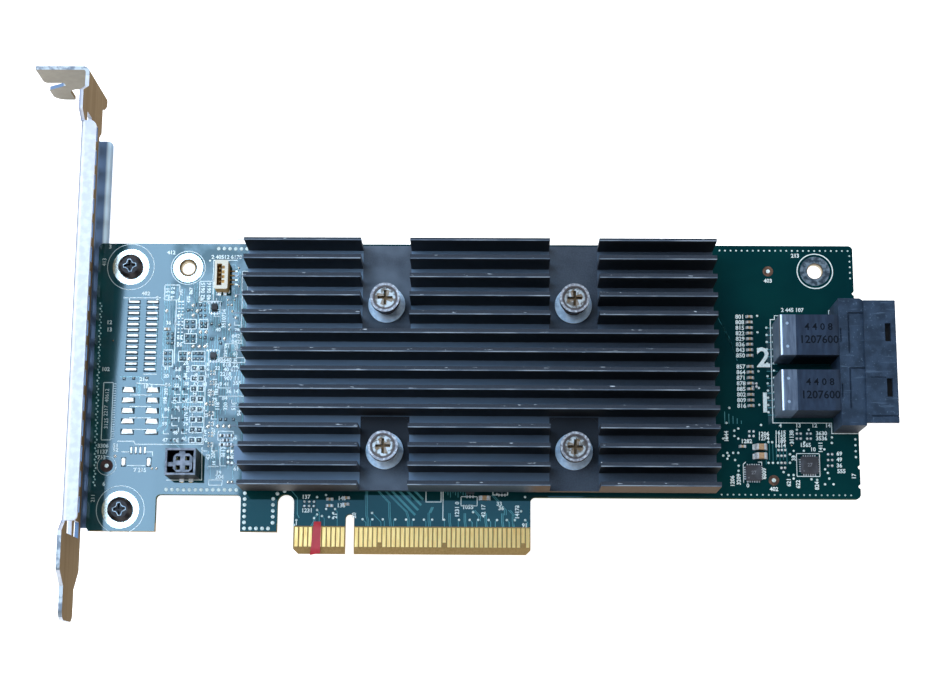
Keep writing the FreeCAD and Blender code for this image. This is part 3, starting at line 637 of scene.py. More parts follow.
def dark_pad(x, y, size=0.62):
    """A pad of tarnished solder, with a small bright dome on its middle that is a painted highlight."""
    dull_pads.pillow(oblong(x, y, size, size), 0, 0.1, soft=0.14)
    crown_highlights.dome(x - 0.04, y + 0.04, size * 0.27, 0.08, 0.06, sides=10)
    # The slot is shifted to low y: a painted shadow along the pad's lower edge.
    moats.slab(x, y - 0.04, size * 1.22, size * 1.25, 0, moat_top)


for row in range(13):
    for column in (8.42, 12.55):
        pad(column - row * 0.008, 55.52 - 1.272 * row, 2.5, 0.5, moat=0.3)
slant = 0.3
for row in range(5):
    row_y = 35.73 - 2.33 * row
    for column in (7.95, 13.3):
        jog = [dice.uniform(-0.14, 0.14) for _ in range(6)]
        pads.pillow([(column + a, row_y + b) for a, b in (
            (-1.4 + jog[0], -0.62), (1.4 + jog[1], -0.58 + jog[2]),
            (1.4 - slant + jog[3], 0.55), (-1.3 + slant + jog[4], 0.62))], 0, 0.09, soft=0.18)
        moats.slab(column + 0.1, row_y - 0.06, 2.95, 1.32, 0, moat_top)
for number in range(4):
    pad(9.12 + number * 1.0, 22.3, 0.42, 1.5)
for column in (7.55, 13.1):
    pad(column, 19.72, 0.95, 1.85)
for spot_x, spot_y in ((30.28, 23.55), (31.1, 23.41), (30.32, 22.17), (31.14, 22.18),
                       (30.37, 20.8), (31.19, 20.8), (30.4, 19.7), (31.23, 19.56)):
    pad(spot_x, spot_y, 0.62, 0.72)
for column in range(3):
    for row_y in (11.24, 10.29):
        pad(47.26 + 1.03 * column, row_y, 0.55, 0.5)
for spot_x, spot_y in ((160.85, 22.19), (161.73, 22.19), (160.8, 20.94), (161.7, 20.94), (160.75, 19.69),
                       (161.65, 19.69), (154.22, 26.71), (155.05, 26.71), (156.45, 26.72), (157.23, 26.72),
                       (154.18, 25.61), (155.02, 25.61), (156.42, 25.62), (157.19, 25.62), (143.89, 27.13),
                       (144.82, 27.13), (143.87, 26.12), (144.8, 26.12), (150.15, 23.07), (150.85, 23.08),
                       (151.58, 23.08), (149.96, 21.82), (150.73, 21.82), (151.51, 21.83), (150.69, 20.26),
                       (151.47, 20.26), (150.66, 19.16), (151.44, 19.17), (144.9, 37.75), (145.7, 37.75),
                       (144.9, 37.05), (145.7, 37.05)):
    pad(spot_x, spot_y, 0.5, 0.52)
for pad_y in (23.64, 21.58):
    pad(144.75, pad_y, 0.5, 1.25)
for row_y in (55.7 - 0.78 * number for number in range(14)):
    for column in (18.45, 19.25):
        pad(column, row_y, 0.5, 0.2, moat=0.08)

dark_spots = (
    (20.42, 53.72), (21.34, 53.73), (23.15, 54.87), (24.13, 54.87), (23.2, 53.73), (24.17, 53.74),
    (23.24, 52.46), (24.21, 52.46), (20.33, 51.03), (21.63, 51.03), (20.36, 49.98), (21.67, 49.98),
    (20.36, 47.77), (21.75, 47.78), (20.4, 46.7), (21.78, 46.71), (23.58, 50.76), (24.41, 50.76),
    (23.6, 49.99), (24.44, 50.0), (22.16, 43.92), (22.99, 43.92), (23.82, 43.93), (22.21, 42.71),
    (23.03, 42.72), (23.86, 42.72), (19.2, 43.91), (20.05, 43.91), (19.25, 42.7), (20.05, 42.7),
    (15.81, 43.95), (16.77, 43.95), (15.86, 42.68), (16.82, 42.69), (15.9, 41.56), (16.87, 41.56),
    (27.88, 46.26), (23.42, 47.51), (24.38, 47.51), (25.8, 50.63), (25.91, 47.23), (27.47, 50.35),
    (27.57, 47.24), (28.43, 25.61), (29.66, 25.61), (30.9, 25.62), (16.1, 48.3), (16.1, 47.3), (17.1, 48.3),
    (17.1, 47.3), (16.2, 46.2), (17.2, 46.2), (28.45, 29.21), (29.55, 29.21), (31.33, 29.22), (9.0, 38.3),
    (11.9, 38.35), (6.9, 38.2))
for spot_x, spot_y in dark_spots:
    dark_pad(spot_x, spot_y, 0.58)
warm_dots = Mould()
pair_rows = [40.58 - 2.285 * row for row in range(8)]
for row_y in pair_rows:
    for column in (22.3, 23.85):
        dark_pad(column, row_y, 0.72)
    for column, radius in ((17.75, 0.26), (18.6, 0.26), (20.15, 0.3)):
        dull_pads.dome(column, row_y - 0.05, radius, 0, 0.1)
    for step_x in (26.0, 26.65):
        for step_y in (-0.35, 0.35):
            warm_dots.dome(step_x, row_y - 1.0 + step_y, 0.23, 0, 0.12)

drawn_solder = mottled("drawn_solder", (1.4, 3.0), (0.4, 0.7), (236, 240, 242), (206, 206, 198),
                       (0.26, 0.14), 0.02, Metallic=0.7)
pads.piece("footprint_pads", drawn_solder)
dull_pads.piece("tarnished_pads", mottled(
    "tarnished_solder", (1.2, 3.0), (0.4, 0.62), (30, 46, 60), (84, 104, 122), (0.45, 0.2), 0.03,
    Metallic=0.4))
crown_highlights.piece("painted_crown_highlights", filled_paint, smooth=True)
warm_dots.piece("capped_vias", tinned_paint, smooth=True)
moats.piece("mask_clearings", mottled(
    "bare_laminate", (3.0, 2.0), (0.35, 0.65), (24, 44, 56), (46, 70, 82), (0.6, 0.2), 0.01,
    Specular_IOR_Level=0.2))


# ---- Fiducials ----
# Round targets for the placing machine: a bright tinned copper dot in a disc where the mask
# is left off and the laminate shows brown.

copper = Finish("bare_disc")
copper_cloud = copper.noise(1.1, 3.0)
brown_disc, dark_disc = [copper.mix(copper_cloud.ramp(0.4, 0.65), shade, light) for shade, light in (
    ((62, 46, 40), (104, 78, 64)), ((34, 20, 20), (58, 38, 34)))]
clearings = Mould()
targets = Mould()
for mark_x, mark_y, reach in ((148.83, 63.04, 1.15), (148.95, 16.43, 1.15), (3.9, 18.85, 1.4)):
    clearings.disc(mark_x, mark_y, reach, 0, 0.014, sides=32)
    targets.dome(mark_x, mark_y, 0.46, 0.005, 0.1, sides=20)
# Painted shade: the disc at the bracket end, x under 10, is a darker red-brown.
clearings.piece("fiducial_discs", copper.surface(
    Base_Color=copper.mix(copper.x < 10, brown_disc, dark_disc),
    Roughness=0.6,
    Specular_IOR_Level=0.25,
    Normal=copper.bump(copper_cloud, 0.02)))
targets.piece("fiducial_dots", filled_paint, smooth=True)


# ---- Silkscreen ----
# White epoxy ink printed over the mask: outlines of the parts and pieces, dots at pin one,
# circles round the holes, and small reference numbers.

silk_low = 0.018
silk_top = 0.042
silk_width = 0.17
silk = Mould()


def figures(mould, text, x, y, height, low=silk_low, high=silk_top, upright=False, weight=0.035):
    """Printed numbers with their middle at (x, y), reading along X, or up Y where upright."""
    writing = bpy.data.curves.new("figures", "FONT")
    writing.body = text
    writing.align_x = "CENTER"
    writing.align_y = "CENTER"
    writing.size = height * 1.42
    writing.offset = weight
    writing.resolution_u = 2
    writing.extrude = (high - low) / 2
    holder = bpy.data.objects.new("figures", writing)
    flat = bpy.data.meshes.new_from_object(holder)
    turn = Matrix.Rotation(math.pi / 2 if upright else 0, 4, "Z")
    flat.transform(Matrix.Translation(at(x, y, (low + high) / 2)) @ turn @ Matrix.Scale(MM, 4))
    mould.mesh.from_mesh(flat)
    bpy.data.objects.remove(holder)
    bpy.data.meshes.remove(flat)
    bpy.data.curves.remove(writing)


def silk_line(*spots):
    silk.line(spots, silk_width, silk_low, silk_top)


def silk_frame(x0, y0, x1, y1):
    silk.frame(x0, y0, x1, y1, silk_width, silk_low, silk_top)


for ring_x, ring_y in screw_rings:
    silk.ring(ring_x, ring_y, 5.15, 5.27, silk_low, silk_top)
silk.ring(far_hole[0], far_hole[1], 3.8, 4.02, silk_low, silk_top)
silk.ring(near_hole[0], near_hole[1], 3.72, 3.86, silk_low, silk_top)
silk.ring(3.9, 18.85, 2.02, 2.12, silk_low, silk_top)

port_outline_x = 149.05
for spots in (
        ((150.9, 52.98), (149.98, 52.98), (149.98, 52.1), (port_outline_x, 52.1), (port_outline_x, 29.03),
         (161.8, 29.03), (161.8, 26.75), (167.5, 26.75)),
        ((161.95, 53.3), (161.95, 54.2), (162.7, 54.2)), ((142.4, 15.9), (142.4, 19.9), (142.95, 20.4)),
        ((145.6, 20.4), (146.4, 20.4), (146.4, 19.6))):
    silk_line(*spots)
for corners in (
        (153.98, 17.32, 158.95, 22.3), (15.06, 55.99, 18.39, 59.39), (22.82, 55.73, 25.9, 60.28),
        (15.36, 41.0, 17.4, 44.65), (19.67, 49.42, 22.38, 51.59), (19.79, 46.15, 22.5, 48.34),
        (22.99, 49.43, 24.93, 51.6), (21.59, 42.11, 24.52, 44.4), (28.85, 43.04, 31.44, 46.12),
        (27.99, 24.52, 31.34, 26.57), (26.31, 14.69, 29.2, 15.84), (2.45, 24.52, 4.55, 37.29),
        (18.7, 42.1, 20.6, 44.4), (25.2, 52.9, 27.5, 55.6), (25.3, 42.0, 27.6, 44.7),
        (27.85, 41.9, 33.4, 43.0), (32.21, 58.04, 33.47, 62.6), (81.2, 10.5, 84.7, 12.5)):
    silk_frame(*corners)
for row_y in pair_rows:
    for column in (22.3, 23.85):
        silk_frame(column - 0.68, row_y - 0.62, column + 0.68, row_y + 0.62)
    silk_line((19.3, row_y + 0.5), (19.3, row_y - 0.6))
    silk_line((26.9, row_y - 0.5), (26.9, row_y - 1.5))
for row_y in (34.54, 31.98, 29.45, 26.9):
    silk_line((8.35, row_y), (13.1, row_y))
for spots in (
        ((9.6, 37.19), (17.33, 36.67)),
        ((6.04, 24.25), (9.6, 24.27), (9.9, 23.6), (24.8, 23.66), (24.8, 42.0)),
        ((17.48, 32.9), (24.48, 32.94)), ((7.0, 21.9), (8.7, 21.92)),
        ((12.5, 21.94), (13.8, 21.95), (13.84, 20.98)),
        ((8.4, 18.9), (12.4, 18.9)), ((27.87, 34.35), (33.36, 34.37)), ((32.36, 58.4), (32.36, 47.0)),
        ((28.57, 23.54), (28.57, 19.0)), ((26.07, 18.85), (28.39, 18.86)),
        ((24.6, 22.3), (24.75, 15.83), (17.0, 15.75)),
        ((25.75, 57.3), (25.75, 65.1), (31.0, 65.1)), ((17.75, 55.9), (17.75, 41.6)),
        ((73.6, 14.9), (73.6, 11.3), (76.87, 11.3), (76.87, 14.9)), ((77.3, 14.6), (77.3, 7.3)),
        ((88.1, 14.8), (88.1, 12.9), (91.3, 12.9), (91.3, 14.8)), ((6.0, 56.45), (14.2, 56.45)),
        ((11.0, 39.2), (14.0, 39.2)), ((27.6, 36.2), (33.3, 36.2))):
    silk_line(*spots)

for number, row_y in enumerate(port_rows):
    figures(silk, str(801 + number * 7 % 90), 142.35, row_y + 0.02, 0.92)
small = 0.86
labels = (
    ("2 40512 6170", 28.6, 65.81), ("3", 2.5, 68.1), ("412", 16.2, 66.8), ("12", 3.06, 50.81),
    ("13", 3.13, 49.17), ("102", 2.71, 40.24), ("2", 13.51, 56.39), ("1", 7.28, 56.1),
    ("216", 11.22, 38.03), ("0421", 31.5, 47.8), ("0422", 31.5, 46.55), ("3306", 2.9, 23.18),
    ("1137", 2.8, 21.89), ("713", 2.7, 20.65), ("51", 5.67, 23.28), ("52", 5.71, 22.32),
    ("0640", 29.2, 42.4), ("618 22", 30.2, 41.3), ("40 617", 30.4, 40.3), ("2218", 29.2, 39.3),
    ("907 11", 30.6, 38.3), ("355", 31.8, 37.3), ("9 41", 29.0, 37.0), ("5", 24.9, 45.7),
    ("36 14", 30.8, 35.4), ("84", 29.2, 33.9), ("402", 10.9, 57.4), ("7 215", 11.2, 17.9),
    ("19", 28.4, 17.4), ("204", 28.6, 16.5), ("61", 32.2, 18.3), ("1 6", 31.4, 25.1), ("26", 20.4, 41.7),
    ("8", 25.3, 41.4), ("18 3", 12.2, 36.4), ("6", 3.46, 14.84), ("137", 47.57, 12.24),
    ("1231", 47.86, 9.28), ("143", 55.39, 11.98), ("138", 55.21, 10.41), ("1", 45.6, 6.48),
    ("1055", 82.7, 10.2), ("33", 89.5, 10.95), ("36", 89.9, 10.0), ("91", 95.0, 6.29),
    ("213", 154.93, 66.59), ("403", 148.78, 60.85), ("2 445 107", 153.96, 54.23), ("4", 150.66, 28.42),
    ("13", 154.54, 28.44), ("12", 158.05, 28.46), ("14", 161.0, 28.47), ("1206", 146.98, 26.57),
    ("1274", 146.96, 25.57), ("1615", 150.62, 26.85), ("1155", 150.59, 25.9), ("1189", 150.57, 24.96),
    ("1614", 150.54, 24.02), ("3630", 159.55, 26.73), ("3536", 159.52, 25.63), ("1282", 143.22, 24.92),
    ("1565", 156.0, 24.15), ("10", 157.6, 23.2), ("69", 163.28, 22.3), ("49", 163.24, 21.01),
    ("36", 163.2, 19.7), ("555", 163.62, 18.45), ("402", 148.93, 14.48), ("0", 143.3, 15.23))
for text, x, y in labels:
    figures(silk, text, x, y, small)
columns = (
    ("413", 1.36, 64.6), ("3510714", 28.46, 51.8), ("42 0615", 23.6, 58.0), ("40 0616", 24.95, 58.0),
    ("2 51", 15.75, 57.7), ("1 8 2", 16.9, 57.7), ("40612", 3.3, 34.4), ("3125", 3.4, 28.2),
    ("2217", 3.2, 31.0), ("118", 27.67, 32.1), ("320", 29.45, 32.1), ("516", 31.23, 32.1),
    ("412", 25.9, 35.1), ("61", 26.9, 37.8), ("206", 27.1, 21.5), ("43", 26.0, 20.9), ("113", 29.3, 22.3),
    ("94", 32.5, 30.6), ("211", 1.25, 11.74), ("20", 58.1, 8.3), ("21", 54.0, 8.2), ("1231 0", 80.4, 9.7),
    ("42 17", 86.1, 9.4), ("14173", 93.4, 9.2), ("31138", 153.1, 25.9), ("1411", 159.3, 23.7),
    ("6009", 146.92, 17.89), ("1206", 140.02, 16.2), ("3209", 141.39, 16.6), ("621", 152.2, 16.0),
    ("622", 154.2, 15.6), ("824", 158.26, 15.3), ("17", 166.3, 17.38), ("1044", 138.9, 26.0),
    ("33", 153.4, 21.3))
for text, x, y in columns:
    figures(silk, text, x, y, small, upright=True, weight=0.035 if x > 5 else 0.0)
port_figure_height = 4.3
for text, x, y in (("2", 147.35, 43.35), ("1", 147.45, 33.3)):
    figures(silk, text, x, y, port_figure_height, weight=0.13)
for dot_x, dot_y in ((143.3, 16.2), (153.4, 22.9), (25.0, 55.3), (25.0, 44.6), (89.0, 13.2), (24.9, 65.0)):
    silk.disc(dot_x, dot_y, 0.22, silk_low, silk_top, sides=12)
taken = list(dark_spots) + [(x, y) for x, y, _ in test_points] + [(x, y) for _, x, y in labels + columns]
for step_y in range(24):
    for step_x in range(8):
        spot_x = 16.4 + step_x * 2.15 + dice.uniform(-0.3, 0.3)
        spot_y = 17.6 + step_y * 1.75 + dice.uniform(-0.25, 0.25)
        chance = dice.random()
        under_header = spot_x < 25.2 and spot_y < 23
        if under_header or any(abs(spot_x - x) < 1.35 and abs(spot_y - y) < 0.95 for x, y in taken):
            continue
        if chance < 0.45:
            figures(silk, str(dice.randint(12, 99)), spot_x, spot_y, 0.8)
        elif chance < 0.75:
            figures(silk, str(dice.randint(102, 989)), spot_x, spot_y, 0.72, upright=True)
        else:
            left_x, low_y = spot_x - 0.6, spot_y - 0.4
            silk_line((left_x, spot_y + 0.4), (left_x, low_y), (spot_x + 0.6, low_y))
for row_y in pair_rows:
    silk.prism(((20.9, row_y + 0.25), (20.9, row_y - 0.3), (21.4, row_y)), silk_low, silk_top)
for number in range(24):
    tick_y = 37.0 - number * 0.53
    silk.slab(4.95, tick_y, 0.55, 0.12, silk_low, silk_top)

# Painted shade: the ink is greyer at the bracket end, x under 6.6.
ink = Finish("white_ink")
ink_grain = ink.noise(3.0, 3.0)
silk.piece("silkscreen", ink.grained(
    ink.mix(ink.x.ramp(4.6, 6.6), (150, 166, 166),
            ink.mix(ink_grain.ramp(0.35, 0.7), (228, 240, 242), (196, 216, 220))),
    ink_grain, (0.55, 0.2), 0.01, Coat_Weight=0.8, Coat_Roughness=0.12))


# ---- Edge contacts ----
# Hard gold plated on the board's own copper, with the fine lengthwise wiping marks that
# slots leave.

gold_paint = mottled("contact_gold", (1.2, 3.0, (6, 0.25, 1)), (0.4, 0.68), (255, 216, 142), (240, 192, 114),
                     (0.3, 0.12), 0.006, Metallic=0.85)
dress(gold_paint, "edge_contacts_front", "edge_contacts_back")


# ---- Chip capacitors and resistors ----
# Fired ceramic blocks with tinned ends, each seated in two small fillets of solder. The
# resistors carry a black film on top.

for name, shade, light, grain, gloss, node in (
        ("ceramic_blocks", (150, 128, 100), (188, 168, 138), (4.0, 2.0), 0.5, "chip_capacitors"),
        ("bulk_ceramic", (150, 122, 90), (182, 152, 118), (3.0, 2.0), 0.45, "bulk_capacitors")):
    dress(mottled(name, grain, (0.35, 0.7), shade, light, (gloss, 0.15), 0.02), node)
dress(mottled("resistor_film", (5.0, 2.0), (0.3, 0.7), (20, 20, 22), (44, 44, 48), (0.35, 0.2), 0.02),
      "chip_resistors")


def islands(node):
    """The box, in board millimetres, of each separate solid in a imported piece."""
    mesh = bmesh.new()
    mesh.from_mesh(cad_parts[node].data)
    bmesh.ops.remove_doubles(mesh, verts=mesh.verts, dist=1e-7)
    left = set(mesh.verts)
    origin = at(0, 0)
    found = []
    while left:
        reach = [left.pop()]
        corners = []
        while reach:
            corner = reach.pop()
            corners.append((corner.co - origin) * 1000)
            for edge in corner.link_edges:
                other = edge.other_vert(corner)
                if other in left:
                    left.remove(other)
                    reach.append(other)
        low = Vector([min(corner[axis] for corner in corners) for axis in range(3)])
        high = Vector([max(corner[axis] for corner in corners) for axis in range(3)])
        found.append((low, high))
    mesh.free()
    return sorted(found, key=lambda solid: (round(solid[0].x, 3), round(solid[0].y, 3)))


end_caps = Mould()


def solder_ends(low, high, cap, fillet):
    """Tinned ends over a chip part, each with a fillet of solder down to its pad."""
    skin = 0.02
    for outer, inner, way in ((low.x, low.x + cap, -1), (high.x, high.x - cap, 1)):
        x0, x1 = sorted((outer + way * skin, inner))
        end_caps.slab((x0 + x1) / 2, (low.y + high.y) / 2, x1 - x0, high.y - low.y + 2 * skin,
                      0, high.z + skin)
        toe = outer + way * fillet
        corners = []
        for y in (low.y - 0.05, high.y + 0.05):
            corners += [at(outer, y, high.z * 0.75), at(toe, y, 0.04), at(outer, y, 0), at(toe, y, 0)]
        wedge = [end_caps.mesh.verts.new(corner) for corner in corners]
        for loop in ((0, 1, 3, 2), (4, 6, 7, 5), (0, 4, 5, 1), (1, 5, 7, 3), (3, 7, 6, 2), (2, 6, 4, 0)):
            end_caps.mesh.faces.new([wedge[number] for number in loop])


for low, high in islands("chip_capacitors") + islands("chip_resistors"):
    solder_ends(low, high, 0.24, 0.3)
for low, high in islands("bulk_capacitors"):
    solder_ends(low, high, 0.42, 0.4)
bright_paint = mottled("bright_solder", (2.0, 2.0), (0.4, 0.7), (222, 226, 230), (180, 186, 192),
                       (0.3, 0.12), 0.03, Metallic=0.55)
bmesh.ops.recalc_face_normals(end_caps.mesh, faces=end_caps.mesh.faces)
end_caps.piece("soldered_ends", bright_paint)


# ---- Chips ----
# Moulded black epoxy packages, matt on top, with tinned leads or edge lands soldered down.
# With them go the pressed ferrite inductors and the soft grey pads under the sink.

epoxy = Finish("moulded_epoxy")
epoxy_grain = epoxy.noise(6.0, 3.0)
epoxy_cloud = epoxy.noise(0.35, 2.0)
dress(epoxy.grained(
    epoxy.mix(epoxy_cloud.ramp(0.4, 0.65), (40, 44, 52), (62, 68, 78)),
    epoxy_grain, (0.55, 0.2), 0.03), "controller_chip", "memory_chips", "qfn_chips", "small_ics")

lands = Mould()
for low, high in islands("qfn_chips"):
    middle_x, middle_y = (low.x + high.x) / 2, (low.y + high.y) / 2
    for number in range(6):
        step = (number - 2.5) * 0.5
        for edge_x in (low.x - 0.12, high.x + 0.12):
            lands.slab(edge_x, middle_y + step, 0.5, 0.26, 0, 0.16)
        for edge_y in (low.y - 0.12, high.y + 0.12):
            lands.slab(middle_x + step, edge_y, 0.26, 0.5, 0, 0.16)
for low, high in islands("small_ics"):
    if high.x - low.x > 1.0 and high.y - low.y > 1.0:
        for number in range(3):
            step = (number - 1) * 0.65
            for edge_y in (low.y - 0.28, high.y + 0.28):
                lands.slab((low.x + high.x) / 2 + step, edge_y, 0.3, 0.55, 0, 0.1)
lands.piece("chip_lands", bright_paint)

pin_one = Mould()
for low, high in islands("qfn_chips"):
    pin_one.disc(low.x + 0.55, low.y + 0.55, 0.16, high.z - 0.01, high.z + 0.012, sides=14)
    figures(pin_one, "27", (low.x + high.x) / 2, (low.y + high.y) / 2, 0.75, high.z - 0.01, high.z + 0.012)
pin_one.piece("package_marks", mottled(
    "package_marking", (5.0, 2.0), (0.35, 0.65), (82, 88, 98), (106, 112, 122), (0.6, 0.2)))

dress(mottled("ferrite", (3.0, 4.0), (0.4, 0.6), (56, 56, 58), (92, 92, 94), (0.5, 0.25), 0.05),
      "power_inductors")
dress(mottled("thermal_gel", (1.5, 4.0), (0.4, 0.6), (150, 160, 176), (178, 186, 198), (0.7, 0.2), 0.08),
      "controller_thermal_pad", "memory_thermal_pads")


# ---- Headers ----
# A cream four-way header and a square black four-way one, moulded in glass-filled nylon and
# soldered to the face by their tinned legs.

cream = Finish("cream_nylon")
cream_grain = cream.noise(5.0, 2.0)
# Painted shade: the side faces are a darker tan, and the upward faces low in the header, in its cavities, a
# deeper tan.
cream_side = 1 - abs(cream.face_z).ramp(0.4, 0.8)
cream_colour = cream.mix(cream_grain.ramp(0.3, 0.7), (206, 209, 200), (226, 228, 218))
cream_floor = (cream.z < 2.0) * (cream.face_z > 0.7)
dress(cream.grained(
    cream.layers(cream_colour, (cream_floor, (214, 160, 84)), (cream_side, (176, 146, 92))),
    cream_grain, (0.4, 0.15), 0.02), "debug_header")
brown_paint = mottled("tarnished_contact", (3.0, 2.0), (0.35, 0.65), (110, 78, 36), (196, 150, 78),
                      (0.4, 0), 0.02, Metallic=0.5)
dress(brown_paint, "debug_header_contacts")
sprung = Mould()
for number in range(4):
    sprung.slab(28.42, 59.45 + number * 1.08, 0.6, 0.7, 3.39, 3.41)
sprung.piece("debug_header_springs", brown_paint)
black_nylon = Finish("black_nylon")
nylon_cloud = black_nylon.noise(0.9, 3.0)
# Painted reflection: the top faces are a pale blue-grey, the sky they mirror.
nylon_top = (black_nylon.z > 5.5) * (black_nylon.face_z > 0.7)
nylon_top_colour = black_nylon.mix(nylon_cloud.ramp(0.35, 0.65), (78, 90, 110), (124, 138, 160))
dress(black_nylon.grained(
    black_nylon.mix(nylon_top, (20, 23, 30), nylon_top_colour),
    nylon_cloud, (0.25, 0.2), 0.03), "cable_header")
dress(gold_paint, "cable_header_contacts")
tabs = Mould()
for tab_x in (27.3, 28.5):
    tabs.slab(tab_x, 57.45, 0.75, 0.9, 0, 0.25)
    tabs.slab(tab_x, 64.7, 0.75, 0.9, 0, 0.25)
for leg_x in (20.45, 22.45):
    tabs.slab(leg_x, 15.75, 0.95, 0.8, 0, 0.35)
for number in range(4):
    tabs.slab(30.75, 59.55 + number * 1.0, 1.0, 0.35, 0, 0.12)
tabs.piece("header_solder_tabs", drawn_solder)


# ---- Twin receptacle ----
# One black moulded shell over both ports, blind latch pockets in its top. Each port is a
# moulded body closed at the back by a folded steel end plate, and solders down by its legs.

shell = Finish("shell_plastic")
shell_grain = shell.noise(4.0, 3.0)
shell_flow = shell.noise(0.45, 4.0)
shell_scuff = shell.noise(0.8, 3.0, (0.25, 2, 1)).ramp(0.6, 0.75)
shell_speck = shell.noise(2.2, 4.0).ramp(0.62, 0.72)
# Painted light and shade: the sloped faces are lightened, the latch pocket floors are near black, and the
# side walls facing along y are darkened.
shell_slope = shell.face_x.between(-0.98, -0.05) * (shell.face_z > 0.1)
shell_deep = (shell.z < 10.0) * (shell.face_z > 0.7) * shell.x.between(171.9, 173.25)
shell_side = (abs(shell.face_y) > 0.7) * (shell.x < 168.4)
dress(shell.grained(
    shell.layers(
        shell.mix(shell_flow.ramp(0.35, 0.65), (24, 42, 62), (38, 57, 80)),
        (shell_scuff * 0.5, (76, 98, 124)), (shell_speck * 0.2, (120, 150, 180)),
        (shell_slope * 0.6, (74, 96, 122)), (shell_deep, (6, 7, 9)), (shell_side * 0.75, (30, 30, 32))),
    shell_grain, (0.42, 0.2), 0.02, Specular_IOR_Level=0.25), "receptacle_housing")


def board_box(node):
    """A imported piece's box in board millimetres."""
    return [(corner - at(0, 0)) * 1000 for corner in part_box(node)]


port_marks = Mould()
for node in ("port_body_1", "port_body_2"):
    body = Finish(node)
    body_grain = body.noise(3.0, 3.0)
    body_streak = body.noise(0.8, 2.0, (1, 0.25, 1))
    body_end = body.x.ramp(160.2, 162.0)
    # Painted shade: the side faces turned along y are darkened.
    body_side = abs(body.face_y) > 0.7
    dress(body.grained(
        body.layers(
            body.mix(body_streak.ramp(0.35, 0.7), (20, 36, 57), (32, 50, 74)),
            (body_end * 0.35, (22, 28, 36)), (body_side * 0.7, (16, 20, 26))),
        body_grain, (0.42, 0.2), 0.02, Specular_IOR_Level=0.25), node)
    body_low, body_high = board_box(node)
    body_y = (body_low.y + body_high.y) / 2
    for text, rise, height in (("4 4 0 8", 1.7, 1.5), ("1207600", -1.1, 1.7)):
        figures(port_marks, text, 157.9, body_y + rise, height, body_high.z - 0.01, body_high.z + 0.008)
port_marks.piece("port_figures", mottled(
    "moulded_figures", (5.0, 2.0), (0.3, 0.7), (8, 14, 22), (16, 25, 36), (0.6, 0.2),
    Specular_IOR_Level=0.05))

plate = Finish("rolled_steel")
plate_brush = plate.noise(1.5, 3.0, (1, 0.15, 1))
# Painted highlights: a greyer line on the rounded back edge, and pale blue dimple floors.
plate_round = plate.face_z.between(0.12, 0.95) * (plate.face_x < -0.1)
plate_dimple = plate.z.between(9.6, 9.95) * (plate.face_z > 0.7)
dress(plate.grained(
    plate.layers(
        plate.mix(plate_brush.ramp(0.35, 0.65), (88, 104, 128), (106, 124, 148)),
        (plate_round, (112, 114, 120)), (plate_dimple, (190, 214, 240))),
    plate_brush, (0.36, 0.12), 0.008, Metallic=0.6), "port_end_plate_1", "port_end_plate_2")
dress(gold_paint, "port_contacts")


# ---- Heat sink ----
# One aluminium extrusion with its fins milled away round four screws, then blasted and black
# anodised. Handling has left bright nicks on the fin tips, and a short lip stands out from
# its top edge behind each upper pocket.

anodised = Finish("black_anodised")
sink_low, sink_high = board_box("heat_sink")
pocket_spans = ((59.4, 70.0), (100.2, 110.8))
pocket_rows = (29.3, 48.8)
blast = anodised.noise(3.0, 3.0)
drift = anodised.noise(0.12, 2.0)
upward = anodised.face_z > 0.7
tip = (anodised.z > sink_high.z - 0.08) * upward
floor = (anodised.z < 6.0) * upward
nick = anodised.noise(0.9, 4.0, (0.5, 3, 1)).ramp(0.67, 0.72) * tip
in_pockets = anodised.x.between(*pocket_spans[0]) + anodised.x.between(*pocket_spans[1])
open_floor = in_pockets * (1 - anodised.y.between(*pocket_rows))
outer_rows = anodised.y.ramp(48.0, 50.0) + (1 - anodised.y.ramp(14.5, 21.0))
# Painted light: the open pocket floors in the outer rows are lightened, less towards the far end.
painted_floor_light = outer_rows * (1 - anodised.x.ramp(70, 100) * 0.7) * (0.15 + drift.ramp(0.3, 0.7) * 0.45)
# Painted shade: the lower pocket floors beside the screws are darkened.
lower_floor = floor * open_floor * anodised.y.ramp(19.0, 22.0) * (anodised.y < 40)
fade = anodised.x.ramp(58, 134) * 0.9
flank = abs(anodised.face_y) > 0.7
front = (anodised.y < 14.0) * (anodised.face_y < -0.7)
near_end = anodised.x.ramp(52, 64)
far_end = anodised.x.ramp(94, 98)
shaded = flank * (1 - front) * anodised.x.ramp(80, 98) * (1 - anodised.y.ramp(18, 22))
sheen = blast.ramp(0.3, 0.7)
dress(anodised.surface(
    Base_Color=anodised.layers(
        anodised.mix(sheen, (42, 51, 65), (52, 63, 78)),
        (floor * open_floor * painted_floor_light, (112, 130, 150)),
        (lower_floor, (34, 42, 53)),
        # Painted light: the floors of the channels between the fins, fading towards the far end.
        (floor * (1 - open_floor) * (1 - fade), (112, 139, 168)),
        # Painted shade: the fin sides are a much darker copy of the anodising.
        (flank, anodised.mix(sheen, (13, 16, 22), (20, 25, 33))),
        (tip, anodised.mix(sheen, (34, 43, 56), (43, 53, 67))),
        (front, anodised.mix(far_end, anodised.mix(near_end, (30, 26, 27), (38, 52, 62)), (66, 46, 22))),
        (shaded, (4, 5, 7)),
        (nick, (176, 190, 204))),
    Metallic=0.35 * (1 - front * far_end) + shaded * 0.65,
    Roughness=0.5 + blast * 0.1 + front * far_end * 0.4,
    Specular_IOR_Level=0.4,
    Normal=anodised.bump(blast, 0.012)), "heat_sink")

base_lips = Mould()
base_top = 4.25
lip_thickness = 1.6
lip_reach = 0.45
overlap = 0.05
for start_x, end_x in pocket_spans:
    base_lips.slab((start_x + end_x) / 2, sink_high.y + (lip_reach - overlap) / 2, end_x - start_x,
                   lip_reach + overlap, base_top - lip_thickness, base_top - 0.005)
base_lips.piece("sink_base_lips", anodised.material)
